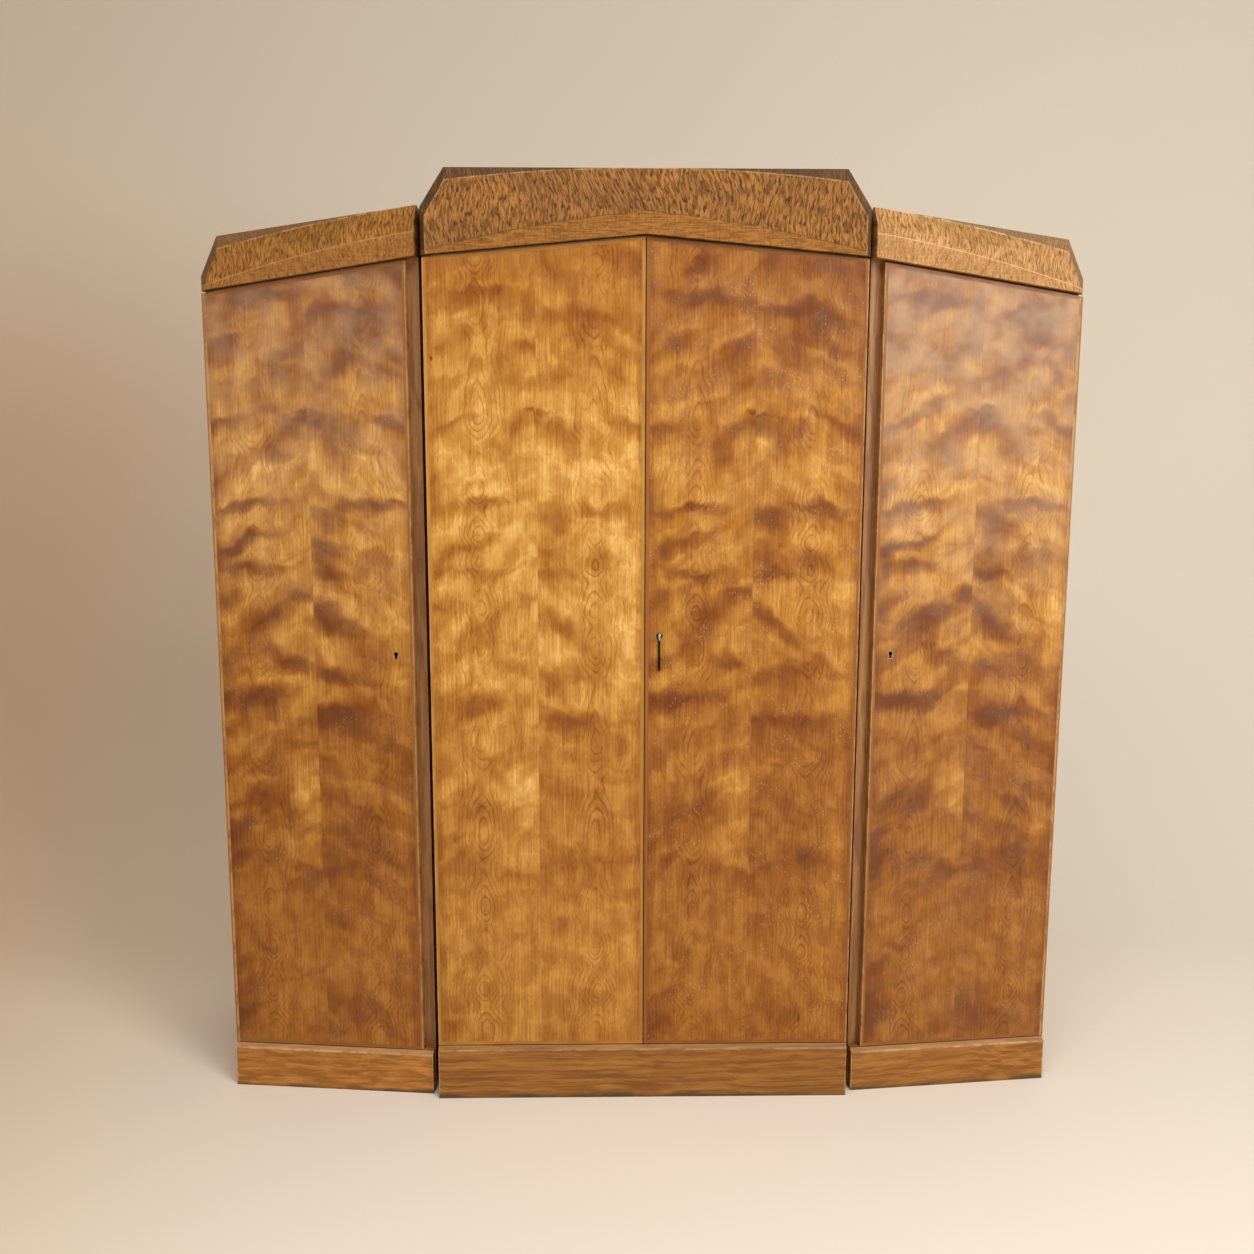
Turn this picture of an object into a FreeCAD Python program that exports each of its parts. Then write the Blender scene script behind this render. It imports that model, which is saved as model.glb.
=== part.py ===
import FreeCAD, Part
import math
import os
from dataclasses import dataclass

from FreeCAD import Vector

# Overall sizes in millimetres. X is across the front, Y runs from the front to the wall, Z is up.
HEIGHT = 1950.0
DEPTH = 540.0
CENTRE_WIDTH = 886.0
WING_WIDTH = 440.0
UNIT_GAP = 11.0
WING_RAKE = 6.4
WING_SETBACK = 21.0

# Carcass boards
BOARD = 20.0
INNER_SIDE = 30.0
BACK_PANEL = 8.0
CENTRE_HEAD_DROP = 44.0
WING_HEAD_DROP = 47.0
CENTRE_RAIL_RISE = 55.0
WING_RAIL_RISE = 22.0

# Plinths
CENTRE_PLINTH = 118.0
WING_PLINTH = 96.0
PLINTH_BOARD = 22.0
PLINTH_CHAMFER = 8.0
PLINTH_PROUD = 9.0

# Doors
DOOR_THICKNESS = 20.0
LIPPING = 7.0
DOOR_BACK_GAP = 1.5
DOOR_FOOT_GAP = 2.0
DOOR_HEAD_GAP = 5.0
MEETING_GAP = 2.0
STILE_REVEAL = 23.0

# Cornices: their lower edges fall outwards from the middle, and the wings' tops fall too. Angles in degrees.
CENTRE_CORNICE_HEIGHT = 168.0
WING_CORNICE_HEIGHT = 99.0
CENTRE_EAVES_ANGLE = 5.3
WING_EAVES_ANGLE = 8.5
WING_CROWN_ANGLE = 7.9
CENTRE_CLIP_WIDTH = 48.0
CENTRE_CLIP_HEIGHT = 75.0
WING_CLIP_WIDTH = 36.0
WING_CLIP_HEIGHT = 79.0
CORNICE_PROUD = 16.0
CORNICE_OVERHANG = 3.0
SCOOP_DEPTH = 26.0
SCOOP_END_DEPTH = 3.0
FACET_HEIGHT = 46.0
TOP_BEVEL = 38.0
CLIP_BEVEL = 24.0
SIDE_BEVEL = 13.0

# Butt hinges
HINGE_LENGTH = 60.0
HINGE_FOOT = 121.0
HINGE_HEAD = 80.0
KNUCKLE_COUNT = 5
KNUCKLE_RADIUS = 3.2
KNUCKLE_GAP = 0.3
KNUCKLE_RELIEF = 0.4
PIN_RADIUS = 1.5
PIN_CLEARANCE = 0.05
PIN_HEAD_RADIUS = 2.6
PIN_HEAD = 1.5
PIN_END_GAP = 0.2
LEAF_WIDTH = 14.0
LEAF_THICKNESS = 1.2

# Rim locks, with their bolts drawn back
WING_LOCK_Z = 977.0
CENTRE_LOCK_Z = 1021.0
WING_KEYHOLE_INSET = 38.0
CENTRE_KEYHOLE_INSET = 29.0
LOCK_BACKSET = 27.0
LOCK_LENGTH = 60.0
LOCK_DEPTH = 14.0
LOCK_BELOW_KEY = 18.0
LOCK_WALL = 5.0
LOCK_BOLT_LENGTH = 44.0
LOCK_BOLT_HEIGHT = 12.0
LOCK_BOLT_THICKNESS = 6.0
LOCK_BOLT_TRAVEL = 12.0
LOCK_BOLT_CLEARANCE = 0.3
KEEP_CLEARANCE = 1.2
KEEP_PLATE = 2.0
KEEP_MARGIN = 7.0
KEEP_WIDTH = 22.0
KEYHOLE_RADIUS = 4.5
KEYHOLE_SLOT_WIDTH = 5.4
KEYHOLE_SLOT_DROP = 10.5

# Key in the centre lock, with a slim fob whose ring hangs on the key's shank
KEY_REACH = 26.0
KEY_SHANK_RADIUS = 2.4
KEY_BOW_RADIUS = 9.5
KEY_BOW_HOLE = 5.5
KEY_BOW_THICKNESS = 3.0
KEY_BIT_REACH = 8.5
KEY_BIT_WIDTH = 6.0
KEY_BIT_THICKNESS = 2.0
KEY_BIT_CLEARANCE = 0.8
KEY_DEPTH_IN_LOCK = 9.0
RING_RADIUS = 5.5
RING_WIRE = 0.9
RING_GAP = 0.2
RING_FROM_DOOR = 3.6
FOB_RADIUS = 2.3
FOB_LENGTH = 66.0

# Sliding door bolts on the left centre door
DOOR_BOLT_INSET = 40.0
DOOR_BOLT_RADIUS = 4.0
DOOR_BOLT_LENGTH = 74.0
DOOR_BOLT_TRAVEL = 18.0
DOOR_BOLT_CLEARANCE = 0.1
DOOR_BOLT_REST_GAP = 4.0
DOOR_BOLT_HOLE_SPARE = 2.0
DOOR_BOLT_SOCKET_CLEARANCE = 0.5
CASING_WIDTH = 18.0
CASING_LENGTH = 62.0
CASING_DEPTH = 16.0
CASING_INSET = 12.0
KNOB_RADIUS = 3.0
KNOB_REACH = 8.0
KNOB_CLEARANCE = 0.3

# Fittings inside
HAT_SPACE = 238.0
SHELF_SETBACK = 40.0
SHELF_BOARD = 18.0
SHELF_COUNT = 4
HANGING_RAIL_RADIUS = 12.0
CENTRE_RAIL_DROP = 70.0
WING_RAIL_DROP = 88.0
RAIL_SOCKET_RADIUS = 19.0
RAIL_SOCKET_DEPTH = 14.0
RAIL_SOCKET_FLOOR = 3.0
RAIL_SOCKET_CLEARANCE = 0.1
TIE_BOLT_RADIUS = 4.0
TIE_BOLT_HEAD_RADIUS = 9.0
TIE_BOLT_HEAD = 5.0
TIE_SPACER_RADIUS = 13.0
TIE_BOLT_INSET = 92.0
TIE_BOLT_FROM_BACK = 130.0

# How far a cut runs past the face that it opens
CUT_SPARE = 5.0

# Planes and lines that the sizes above give
CENTRE_HALF = CENTRE_WIDTH / 2
BACK_Y = DEPTH / 2
PANEL_Y = BACK_Y - BACK_PANEL
DOOR_STACK = DOOR_THICKNESS + DOOR_BACK_GAP
CENTRE_FACE_Y = -DEPTH / 2 + KEY_REACH + DOOR_STACK
WING_FACE_Y = CENTRE_FACE_Y + WING_SETBACK
WING_INNER_X = CENTRE_HALF + UNIT_GAP
WING_OUTER_X = WING_INNER_X + WING_WIDTH
RAKE = math.radians(WING_RAKE)
WING_LENGTH = WING_WIDTH / math.cos(RAKE)
EAVES = HEIGHT - CENTRE_CORNICE_HEIGHT
CENTRE_PITCH = math.tan(math.radians(CENTRE_EAVES_ANGLE))
WING_PITCH = math.tan(math.radians(WING_EAVES_ANGLE))
CENTRE_OPENING_TOP = EAVES - CENTRE_HEAD_DROP
WING_OPENING_TOP = EAVES - WING_PITCH * WING_LENGTH - WING_HEAD_DROP
HAT_SHELF_TOP = CENTRE_OPENING_TOP - HAT_SPACE
PLINTH_LINE = -(DOOR_STACK + PLINTH_PROUD)
CORNICE_LINE = -(DOOR_STACK + CORNICE_PROUD)
HINGE_AXIS_V = -DOOR_BACK_GAP / 2
KNUCKLE_SWEEP = KNUCKLE_RADIUS + KNUCKLE_RELIEF
LOCK_BOLT_V = -DOOR_BACK_GAP + LOCK_DEPTH / 2
LOCK_BOLT_RISE = KEY_BIT_REACH + 2 * KEY_BIT_CLEARANCE + LOCK_BOLT_HEIGHT / 2
DOOR_BOLT_V = -DOOR_BACK_GAP + CASING_DEPTH / 2
DOOR_LEAF_V = -DOOR_BACK_GAP - LEAF_THICKNESS


@dataclass
class Front:
    """One unit's front, in its own frame: u runs outwards along it, v into the unit, z up."""

    frame: FreeCAD.Placement
    length: float
    eaves: float
    pitch: float
    crown: float
    crown_pitch: float
    clip_width: float
    clip_height: float
    plinth: float
    door_start: float
    keyhole_inset: float
    lock_z: float

    def eaves_at(self, u):
        return self.eaves - self.pitch * u

    def crown_at(self, u):
        return self.crown - self.crown_pitch * u

    def head_at(self, u):
        return self.eaves_at(u) - DOOR_HEAD_GAP

    def door_foot(self):
        return self.plinth + DOOR_FOOT_GAP

    def key_u(self):
        return self.door_start + self.keyhole_inset

    def hinge_heights(self):
        low = self.door_foot() + HINGE_FOOT
        high = self.head_at(self.length) - HINGE_HEAD
        return [low, (low + high) / 2, high]


CENTRE = Front(
    frame=FreeCAD.Placement(Vector(0, CENTRE_FACE_Y, 0), FreeCAD.Rotation(Vector(0, 0, 1), 0)),
    length=CENTRE_HALF,
    eaves=EAVES + CENTRE_PITCH * (CENTRE_HALF + CORNICE_OVERHANG),
    pitch=CENTRE_PITCH,
    crown=HEIGHT,
    crown_pitch=0.0,
    clip_width=CENTRE_CLIP_WIDTH,
    clip_height=CENTRE_CLIP_HEIGHT,
    plinth=CENTRE_PLINTH,
    door_start=MEETING_GAP / 2,
    keyhole_inset=CENTRE_KEYHOLE_INSET,
    lock_z=CENTRE_LOCK_Z,
)
WING = Front(
    frame=FreeCAD.Placement(
        Vector(WING_INNER_X, WING_FACE_Y, 0), FreeCAD.Rotation(Vector(0, 0, 1), WING_RAKE)
    ),
    length=WING_LENGTH,
    eaves=EAVES,
    pitch=WING_PITCH,
    crown=EAVES + WING_CORNICE_HEIGHT,
    crown_pitch=math.tan(math.radians(WING_CROWN_ANGLE)),
    clip_width=WING_CLIP_WIDTH,
    clip_height=WING_CLIP_HEIGHT,
    plinth=WING_PLINTH,
    door_start=STILE_REVEAL,
    keyhole_inset=WING_KEYHOLE_INSET,
    lock_z=WING_LOCK_Z,
)


def block(x0, x1, y0, y1, z0, z1):
    return Part.makeBox(x1 - x0, y1 - y0, z1 - z0, Vector(x0, y0, z0))


def rod(radius, length, foot, direction):
    return Part.makeCylinder(radius, length, foot, direction)


def prism(points, sweep):
    return Part.Face(Part.makePolygon(points + points[:1])).extrude(sweep)


def slab(outline, v0, v1):
    """An outline of (u, z) corners, as thick as v0 to v1."""
    return prism([Vector(u, v0, z) for u, z in outline], Vector(0, v1 - v0, 0))


def placed(shape, front):
    moved = shape.copy()
    moved.Placement = front.frame.multiply(moved.Placement)
    return moved


def mirrored(shape):
    return shape.mirror(Vector(0, 0, 0), Vector(1, 0, 0))


def both_sides(shape):
    return Part.makeCompound([shape, mirrored(shape)])


def inset(outline, distances):
    """The outline with each edge moved inwards by its own distance. Corners run anticlockwise."""
    lines = []
    for (u0, z0), (u1, z1), distance in zip(outline, outline[1:] + outline[:1], distances):
        reach = math.hypot(u1 - u0, z1 - z0)
        normal_u = -(z1 - z0) / reach
        normal_z = (u1 - u0) / reach
        lines.append((normal_u, normal_z, normal_u * u0 + normal_z * z0 + distance))
    corners = []
    for (a, b, c), (d, e, f) in zip(lines[-1:] + lines[:-1], lines):
        scale = a * e - b * d
        corners.append(((c * e - b * f) / scale, (a * f - c * d) / scale))
    return corners


def centre_line(offset):
    """The Y of a line across the centre unit, that far behind its face."""
    return lambda x: CENTRE_FACE_Y + offset


def wing_line(offset):
    """The Y of a line across the right wing, that far behind its raked face."""
    return lambda x: WING_FACE_Y + (x - WING_INNER_X) * math.tan(RAKE) + offset / math.cos(RAKE)


def board(x0, x1, front_line, back_y, z0, z1):
    """A board whose front edge follows a line and whose back edge is parallel to the wall."""
    corners = [(x0, front_line(x0)), (x1, front_line(x1)), (x1, back_y), (x0, back_y)]
    return prism([Vector(x, y, z0) for x, y in corners], Vector(0, 0, z1 - z0))


def plinth_front(front, u0, u1):
    """The plinth's front board, with a chamfer that runs back to the door's face."""
    back = PLINTH_LINE + PLINTH_BOARD
    profile = [
        (PLINTH_LINE, 0),
        (back, 0),
        (back, front.plinth),
        (PLINTH_LINE + PLINTH_PROUD, front.plinth),
        (PLINTH_LINE, front.plinth - PLINTH_CHAMFER),
    ]
    return prism([Vector(u0, v, z) for v, z in profile], Vector(u1 - u0, 0, 0))


def centre_plinth():
    back_rail_y = BACK_Y - PLINTH_BOARD
    line = centre_line(PLINTH_LINE + PLINTH_BOARD)
    side = board(CENTRE_HALF - PLINTH_BOARD, CENTRE_HALF, line, BACK_Y, 0, CENTRE_PLINTH)
    inside = CENTRE_HALF - PLINTH_BOARD
    back = block(-inside, inside, back_rail_y, BACK_Y, 0, CENTRE_PLINTH)
    face = placed(plinth_front(CENTRE, -CENTRE_HALF, CENTRE_HALF), CENTRE)
    return Part.makeCompound([face, side, mirrored(side), back])


def wing_plinth():
    line = wing_line(PLINTH_LINE + PLINTH_BOARD)
    x0 = WING_INNER_X + PLINTH_BOARD
    x1 = WING_OUTER_X - PLINTH_BOARD
    inner = board(WING_INNER_X, x0, line, BACK_Y, 0, WING_PLINTH)
    outer = board(x1, WING_OUTER_X, line, BACK_Y, 0, WING_PLINTH)
    back = block(x0, x1, BACK_Y - PLINTH_BOARD, BACK_Y, 0, WING_PLINTH)
    face = placed(plinth_front(WING, 0, WING_LENGTH), WING)
    return Part.makeCompound([face, inner, outer, back])


def header_rail(front, u0, u1, opening_top, rise):
    """The rail behind the door's head, which the cornice is fixed to."""
    outline = [
        (u0, opening_top),
        (u1, opening_top),
        (u1, front.eaves_at(u1) + rise),
        (u0, front.eaves_at(u0) + rise),
    ]
    return slab(outline, 0, BOARD)


def cornice_outline(front):
    end = front.length + CORNICE_OVERHANG
    clip_u = end - front.clip_width
    return [
        (0, front.eaves_at(0)),
        (end, front.eaves_at(end)),
        (end, front.crown_at(clip_u) - front.clip_height),
        (clip_u, front.crown_at(clip_u)),
        (0, front.crown_at(0)),
    ]


def scoop_plan(front):
    """What the scoop takes away in plan: an arc, deepest at the inner end."""
    end = front.length + CORNICE_OVERHANG
    sag = SCOOP_DEPTH - SCOOP_END_DEPTH
    radius = (end ** 2 + sag ** 2) / (2 * sag)
    deepest = CORNICE_LINE + SCOOP_DEPTH

    def on_arc(u):
        return Vector(u, deepest - radius + math.sqrt(radius ** 2 - u ** 2), 0)

    first = on_arc(0)
    last = on_arc(end + CUT_SPARE)
    corner_out = Vector(last.x, CORNICE_LINE - CUT_SPARE, 0)
    corner_in = Vector(first.x, CORNICE_LINE - CUT_SPARE, 0)
    edges = [
        Part.Arc(first, on_arc(end / 2), last).toShape(),
        Part.makeLine(last, corner_out),
        Part.makeLine(corner_out, corner_in),
        Part.makeLine(corner_in, first),
    ]
    return Part.Face(Part.Wire(edges))


def above_facet(front):
    """The space above the plain facet that leans back from the cornice's lower edge."""
    lean = FACET_HEIGHT / SCOOP_DEPTH
    start = front.eaves_at(0)
    near = CORNICE_LINE - CUT_SPARE
    far = CORNICE_LINE + SCOOP_DEPTH + CUT_SPARE
    ceiling = HEIGHT + front.length
    profile = [
        (near, start - CUT_SPARE * lean),
        (far, start + (SCOOP_DEPTH + CUT_SPARE) * lean),
        (far, ceiling),
        (near, ceiling),
    ]
    end = front.length + CORNICE_OVERHANG + CUT_SPARE
    return prism([Vector(0, v, z) for v, z in profile], Vector(end, 0, -front.pitch * end))


def cornice_fascia(front):
    """The cornice's front: a scooped face, a bevel round its outer edges and a leaning lower facet."""
    outline = cornice_outline(front)
    edge_v = CORNICE_LINE + SCOOP_DEPTH
    face = inset(outline, [0, SIDE_BEVEL, CLIP_BEVEL, TOP_BEVEL, 0])
    wires = []
    for corners, v in ((outline, edge_v), (face, CORNICE_LINE)):
        points = [Vector(u, v, z) for u, z in corners]
        wires.append(Part.makePolygon(points + points[:1]))
    solid = slab(outline, edge_v, 0).fuse(Part.makeLoft(wires, True, True))
    height = HEIGHT + CUT_SPARE
    scoop = scoop_plan(front).extrude(Vector(0, 0, height)).common(above_facet(front))
    return solid.cut(scoop).removeSplitter()


def centre_cornice_fascia():
    half = placed(cornice_fascia(CENTRE), CENTRE)
    return half.fuse(mirrored(half)).removeSplitter()


def centre_cornice_return():
    end = CENTRE_HALF + CORNICE_OVERHANG
    top = HEIGHT - CENTRE_CLIP_HEIGHT
    return board(end - BOARD, end, centre_line(0), PANEL_Y, EAVES, top)


def wing_cornice_returns():
    clip_u = WING_LENGTH + CORNICE_OVERHANG - WING_CLIP_WIDTH
    clip_foot = WING.crown_at(clip_u) - WING_CLIP_HEIGHT
    x1 = WING_OUTER_X + CORNICE_OVERHANG
    inner_top = WING.crown_at(BOARD / math.cos(RAKE))
    inner = board(WING_INNER_X, WING_INNER_X + BOARD, wing_line(0), PANEL_Y, EAVES, inner_top)
    outer = board(x1 - BOARD, x1, wing_line(0), PANEL_Y, WING.eaves_at(WING_LENGTH), clip_foot)
    return Part.makeCompound([inner, outer])


def door_outline(front):
    foot = front.door_foot()
    return [
        (front.door_start, foot),
        (front.length, foot),
        (front.length, front.head_at(front.length)),
        (front.door_start, front.head_at(front.door_start)),
    ]


def hinge_axis(front, z):
    return Vector(front.length, HINGE_AXIS_V, z)


def hinge_recesses(front, v0):
    """What the hinges take out of a door or a side: a groove round each pin and room for each leaf."""
    reach = HINGE_LENGTH + 2 * (PIN_END_GAP + PIN_HEAD + KNUCKLE_RELIEF)
    u0 = front.length - KNUCKLE_SWEEP - LEAF_WIDTH
    half = HINGE_LENGTH / 2
    cuts = []
    for z in front.hinge_heights():
        cuts.append(rod(KNUCKLE_SWEEP, reach, hinge_axis(front, z - reach / 2), Vector(0, 0, 1)))
        cuts.append(block(u0, front.length, v0, v0 + LEAF_THICKNESS, z - half, z + half))
    return cuts


def leaf_plates(front, v0):
    """The flat of each hinge leaf, flush in the face that it is let into."""
    u1 = front.length - KNUCKLE_SWEEP
    half = HINGE_LENGTH / 2
    plates = []
    for z in front.hinge_heights():
        plates.append(block(u1 - LEAF_WIDTH, u1, v0, v0 + LEAF_THICKNESS, z - half, z + half))
    return plates


def hinge_leaves(front, v0, first_knuckle):
    """Hinge leaves with every second knuckle, counted from the given one."""
    pitch = (HINGE_LENGTH + KNUCKLE_GAP) / KNUCKLE_COUNT
    length = pitch - KNUCKLE_GAP
    leaves = []
    for plate, z in zip(leaf_plates(front, v0), front.hinge_heights()):
        foot = z - HINGE_LENGTH / 2
        leaf = plate
        for knuckle in range(first_knuckle, KNUCKLE_COUNT, 2):
            z0 = foot + knuckle * pitch
            web = block(
                front.length - KNUCKLE_SWEEP, front.length, v0, v0 + LEAF_THICKNESS, z0, z0 + length
            )
            barrel = rod(KNUCKLE_RADIUS, length, hinge_axis(front, z0), Vector(0, 0, 1))
            leaf = leaf.fuse([web, barrel])
        bore = rod(PIN_RADIUS + PIN_CLEARANCE, HINGE_LENGTH, hinge_axis(front, foot), Vector(0, 0, 1))
        leaves.append(leaf.cut(bore).removeSplitter())
    return Part.makeCompound(leaves)


def hinge_pins(front):
    pins = []
    reach = HINGE_LENGTH + 2 * PIN_END_GAP
    for z in front.hinge_heights():
        foot = hinge_axis(front, z - reach / 2)
        low = foot - Vector(0, 0, PIN_HEAD)
        high = foot + Vector(0, 0, reach)
        shank = rod(PIN_RADIUS, reach, foot, Vector(0, 0, 1))
        heads = [rod(PIN_HEAD_RADIUS, PIN_HEAD, end, Vector(0, 0, 1)) for end in (low, high)]
        pins.append(shank.fuse(heads).removeSplitter())
    return Part.makeCompound(pins)


def keyhole(front):
    """A round hole with a slot under it, right through the door."""
    u = front.key_u()
    half = KEYHOLE_SLOT_WIDTH / 2
    through = DOOR_STACK + CUT_SPARE
    eye = rod(KEYHOLE_RADIUS, through, Vector(u, -through, front.lock_z), Vector(0, 1, 0))
    slot = block(u - half, u + half, -through, 0, front.lock_z - KEYHOLE_SLOT_DROP, front.lock_z)
    return eye.fuse(slot)


def door_panel(front, has_keyhole):
    panel = slab(inset(door_outline(front), [LIPPING] * 4), -DOOR_STACK, -DOOR_BACK_GAP)
    panel = panel.cut(hinge_recesses(front, DOOR_LEAF_V))
    if has_keyhole:
        panel = panel.cut(keyhole(front))
    return panel


def door_lipping(front):
    """Four solid strips round the door's edges: the upright ones run the whole height."""
    outline = door_outline(front)
    whole = slab(outline, -DOOR_STACK, -DOOR_BACK_GAP)
    tall = slab(inset(outline, [0, LIPPING, 0, LIPPING]), -DOOR_STACK, -DOOR_BACK_GAP)
    core = slab(inset(outline, [LIPPING] * 4), -DOOR_STACK, -DOOR_BACK_GAP)
    strips = whole.cut(tall).Solids + tall.cut(core).Solids
    cuts = hinge_recesses(front, DOOR_LEAF_V)
    return Part.makeCompound([strip.cut(cuts) for strip in strips])


def lock_start(front):
    return front.key_u() - LOCK_BACKSET


def lock_bolt(front):
    z = front.lock_z + LOCK_BOLT_RISE
    u = lock_start(front)
    half_v = LOCK_BOLT_THICKNESS / 2
    half_z = LOCK_BOLT_HEIGHT / 2
    v = LOCK_BOLT_V
    return block(u, u + LOCK_BOLT_LENGTH, v - half_v, v + half_v, z - half_z, z + half_z)


def bolt_space(front, u0, u1, clearance):
    z = front.lock_z + LOCK_BOLT_RISE
    half_v = LOCK_BOLT_THICKNESS / 2 + clearance
    half_z = LOCK_BOLT_HEIGHT / 2 + clearance
    return block(u0, u1, LOCK_BOLT_V - half_v, LOCK_BOLT_V + half_v, z - half_z, z + half_z)


def lock_case(front):
    """A rim lock on the door's back, with room for its bolt and for the turning key."""
    u = lock_start(front)
    top = front.lock_z + LOCK_BOLT_RISE + LOCK_BOLT_HEIGHT / 2 + LOCK_WALL
    bottom = front.lock_z - LOCK_BELOW_KEY
    case = block(u, u + LOCK_LENGTH, -DOOR_BACK_GAP, -DOOR_BACK_GAP + LOCK_DEPTH, bottom, top)
    channel_end = u + LOCK_BOLT_LENGTH + LOCK_BOLT_CLEARANCE
    channel = bolt_space(front, u - CUT_SPARE, channel_end, LOCK_BOLT_CLEARANCE)
    keyway = rod(
        KEY_BIT_REACH + KEY_BIT_CLEARANCE,
        KEY_DEPTH_IN_LOCK + KEY_BIT_CLEARANCE,
        Vector(front.key_u(), -DOOR_BACK_GAP, front.lock_z),
        Vector(0, 1, 0),
    )
    return case.cut([channel, keyway])


def centre_lock_keep():
    """The box on the left door's back that the centre bolt shoots into."""
    u = lock_start(CENTRE)
    z = CENTRE.lock_z + LOCK_BOLT_RISE
    half_z = LOCK_BOLT_HEIGHT / 2 + KEEP_CLEARANCE + LOCK_WALL
    body = block(u, u + KEEP_WIDTH, -DOOR_BACK_GAP, -DOOR_BACK_GAP + LOCK_DEPTH, z - half_z, z + half_z)
    pocket = bolt_space(CENTRE, u - CUT_SPARE, u + LOCK_BOLT_TRAVEL, KEEP_CLEARANCE)
    return mirrored(placed(body.cut(pocket), CENTRE))


def wing_keep_space():
    """The mortise in the wing's inner side that the wing's bolt shoots into."""
    return placed(bolt_space(WING, 0, lock_start(WING), KEEP_CLEARANCE), WING)


def wing_keep_recess():
    z = WING.lock_z + LOCK_BOLT_RISE
    x1 = WING_INNER_X + INNER_SIDE
    y = wing_line(LOCK_BOLT_V)(x1)
    half_y = LOCK_BOLT_THICKNESS / 2 + KEEP_CLEARANCE
    half_z = LOCK_BOLT_HEIGHT / 2 + KEEP_MARGIN
    return block(x1 - KEEP_PLATE, x1, y - half_y, y + half_y + KEEP_MARGIN, z - half_z, z + half_z)


def wing_mortise():
    """The bolt's room inside the inner side, short of its outer face."""
    depth = LOCK_BOLT_TRAVEL
    x1 = WING_INNER_X + INNER_SIDE
    z = WING.lock_z
    bound = block(x1 - depth, x1, -BACK_Y, BACK_Y, z, z + LOCK_BOLT_RISE + LOCK_LENGTH)
    return wing_keep_space().common(bound)


def key():
    """The key as it stands in the lock: bow edge-on to the door, bit down."""
    u = CENTRE.key_u()
    z = CENTRE.lock_z
    bow_v = -DOOR_STACK - KEY_REACH + KEY_BOW_RADIUS
    tip_v = -DOOR_BACK_GAP + KEY_DEPTH_IN_LOCK
    half_bow = KEY_BOW_THICKNESS / 2
    half_bit = KEY_BIT_THICKNESS / 2
    across = Vector(1, 0, 0)
    bow = rod(KEY_BOW_RADIUS, KEY_BOW_THICKNESS, Vector(u - half_bow, bow_v, z), across)
    root_v = bow_v + (KEY_BOW_RADIUS + KEY_BOW_HOLE) / 2
    shank = rod(KEY_SHANK_RADIUS, tip_v - root_v, Vector(u, root_v, z), Vector(0, 1, 0))
    bit = block(u - half_bit, u + half_bit, tip_v - KEY_BIT_WIDTH, tip_v, z - KEY_BIT_REACH, z)
    hole = rod(KEY_BOW_HOLE, KEY_BOW_THICKNESS, Vector(u - half_bow, bow_v, z), across)
    return placed(bow.cut(hole).fuse([shank, bit]).removeSplitter(), CENTRE)


def key_fob():
    """A wire ring hung on the key's shank, and the slim bar under it."""
    u = CENTRE.key_u()
    v = -DOOR_STACK - RING_FROM_DOOR
    ring_z = CENTRE.lock_z + KEY_SHANK_RADIUS + RING_GAP + RING_WIRE - RING_RADIUS
    ring = Part.makeTorus(RING_RADIUS, RING_WIRE, Vector(u, v, ring_z), Vector(0, 1, 0))
    bar_top = ring_z - RING_RADIUS
    bar = rod(FOB_RADIUS, FOB_LENGTH, Vector(u, v, bar_top - FOB_LENGTH), Vector(0, 0, 1))
    return placed(ring.fuse(bar), CENTRE)


def door_bolt_axis(z):
    return Vector(DOOR_BOLT_INSET, DOOR_BOLT_V, z)


def door_bolt_set(end_z, up):
    """A sliding bolt, its casing and the hole that it shoots into, above (up 1) or below (up -1)."""
    tip = end_z - up * DOOR_BOLT_REST_GAP
    near = end_z - up * CASING_INSET
    direction = Vector(0, 0, -up)
    bar = rod(DOOR_BOLT_RADIUS, DOOR_BOLT_LENGTH, door_bolt_axis(tip), direction)
    knob_z = tip - up * DOOR_BOLT_LENGTH / 2
    reach = CASING_DEPTH / 2 + KNOB_REACH
    knob = rod(KNOB_RADIUS, reach, door_bolt_axis(knob_z), Vector(0, 1, 0))
    z0, z1 = sorted((near, near - up * CASING_LENGTH))
    half = CASING_WIDTH / 2
    back = -DOOR_BACK_GAP + CASING_DEPTH
    casing = block(DOOR_BOLT_INSET - half, DOOR_BOLT_INSET + half, -DOOR_BACK_GAP, back, z0, z1)
    bore = rod(
        DOOR_BOLT_RADIUS + DOOR_BOLT_CLEARANCE,
        CASING_LENGTH + 2 * CUT_SPARE,
        door_bolt_axis(z0 - CUT_SPARE),
        Vector(0, 0, 1),
    )
    slot_half = KNOB_RADIUS + KNOB_CLEARANCE
    s0, s1 = sorted((knob_z - up * slot_half, knob_z + up * (DOOR_BOLT_TRAVEL + slot_half)))
    u0 = DOOR_BOLT_INSET - slot_half
    slot = block(u0, u0 + 2 * slot_half, DOOR_BOLT_V, back + CUT_SPARE, s0, s1)
    hole_depth = DOOR_BOLT_TRAVEL - DOOR_BOLT_REST_GAP + DOOR_BOLT_HOLE_SPARE
    hole_radius = DOOR_BOLT_RADIUS + DOOR_BOLT_SOCKET_CLEARANCE
    hole = rod(hole_radius, hole_depth, door_bolt_axis(end_z), Vector(0, 0, up))
    shapes = (bar.fuse(knob), casing.cut([bore, slot]), hole)
    return [mirrored(placed(shape, CENTRE)) for shape in shapes]


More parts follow.
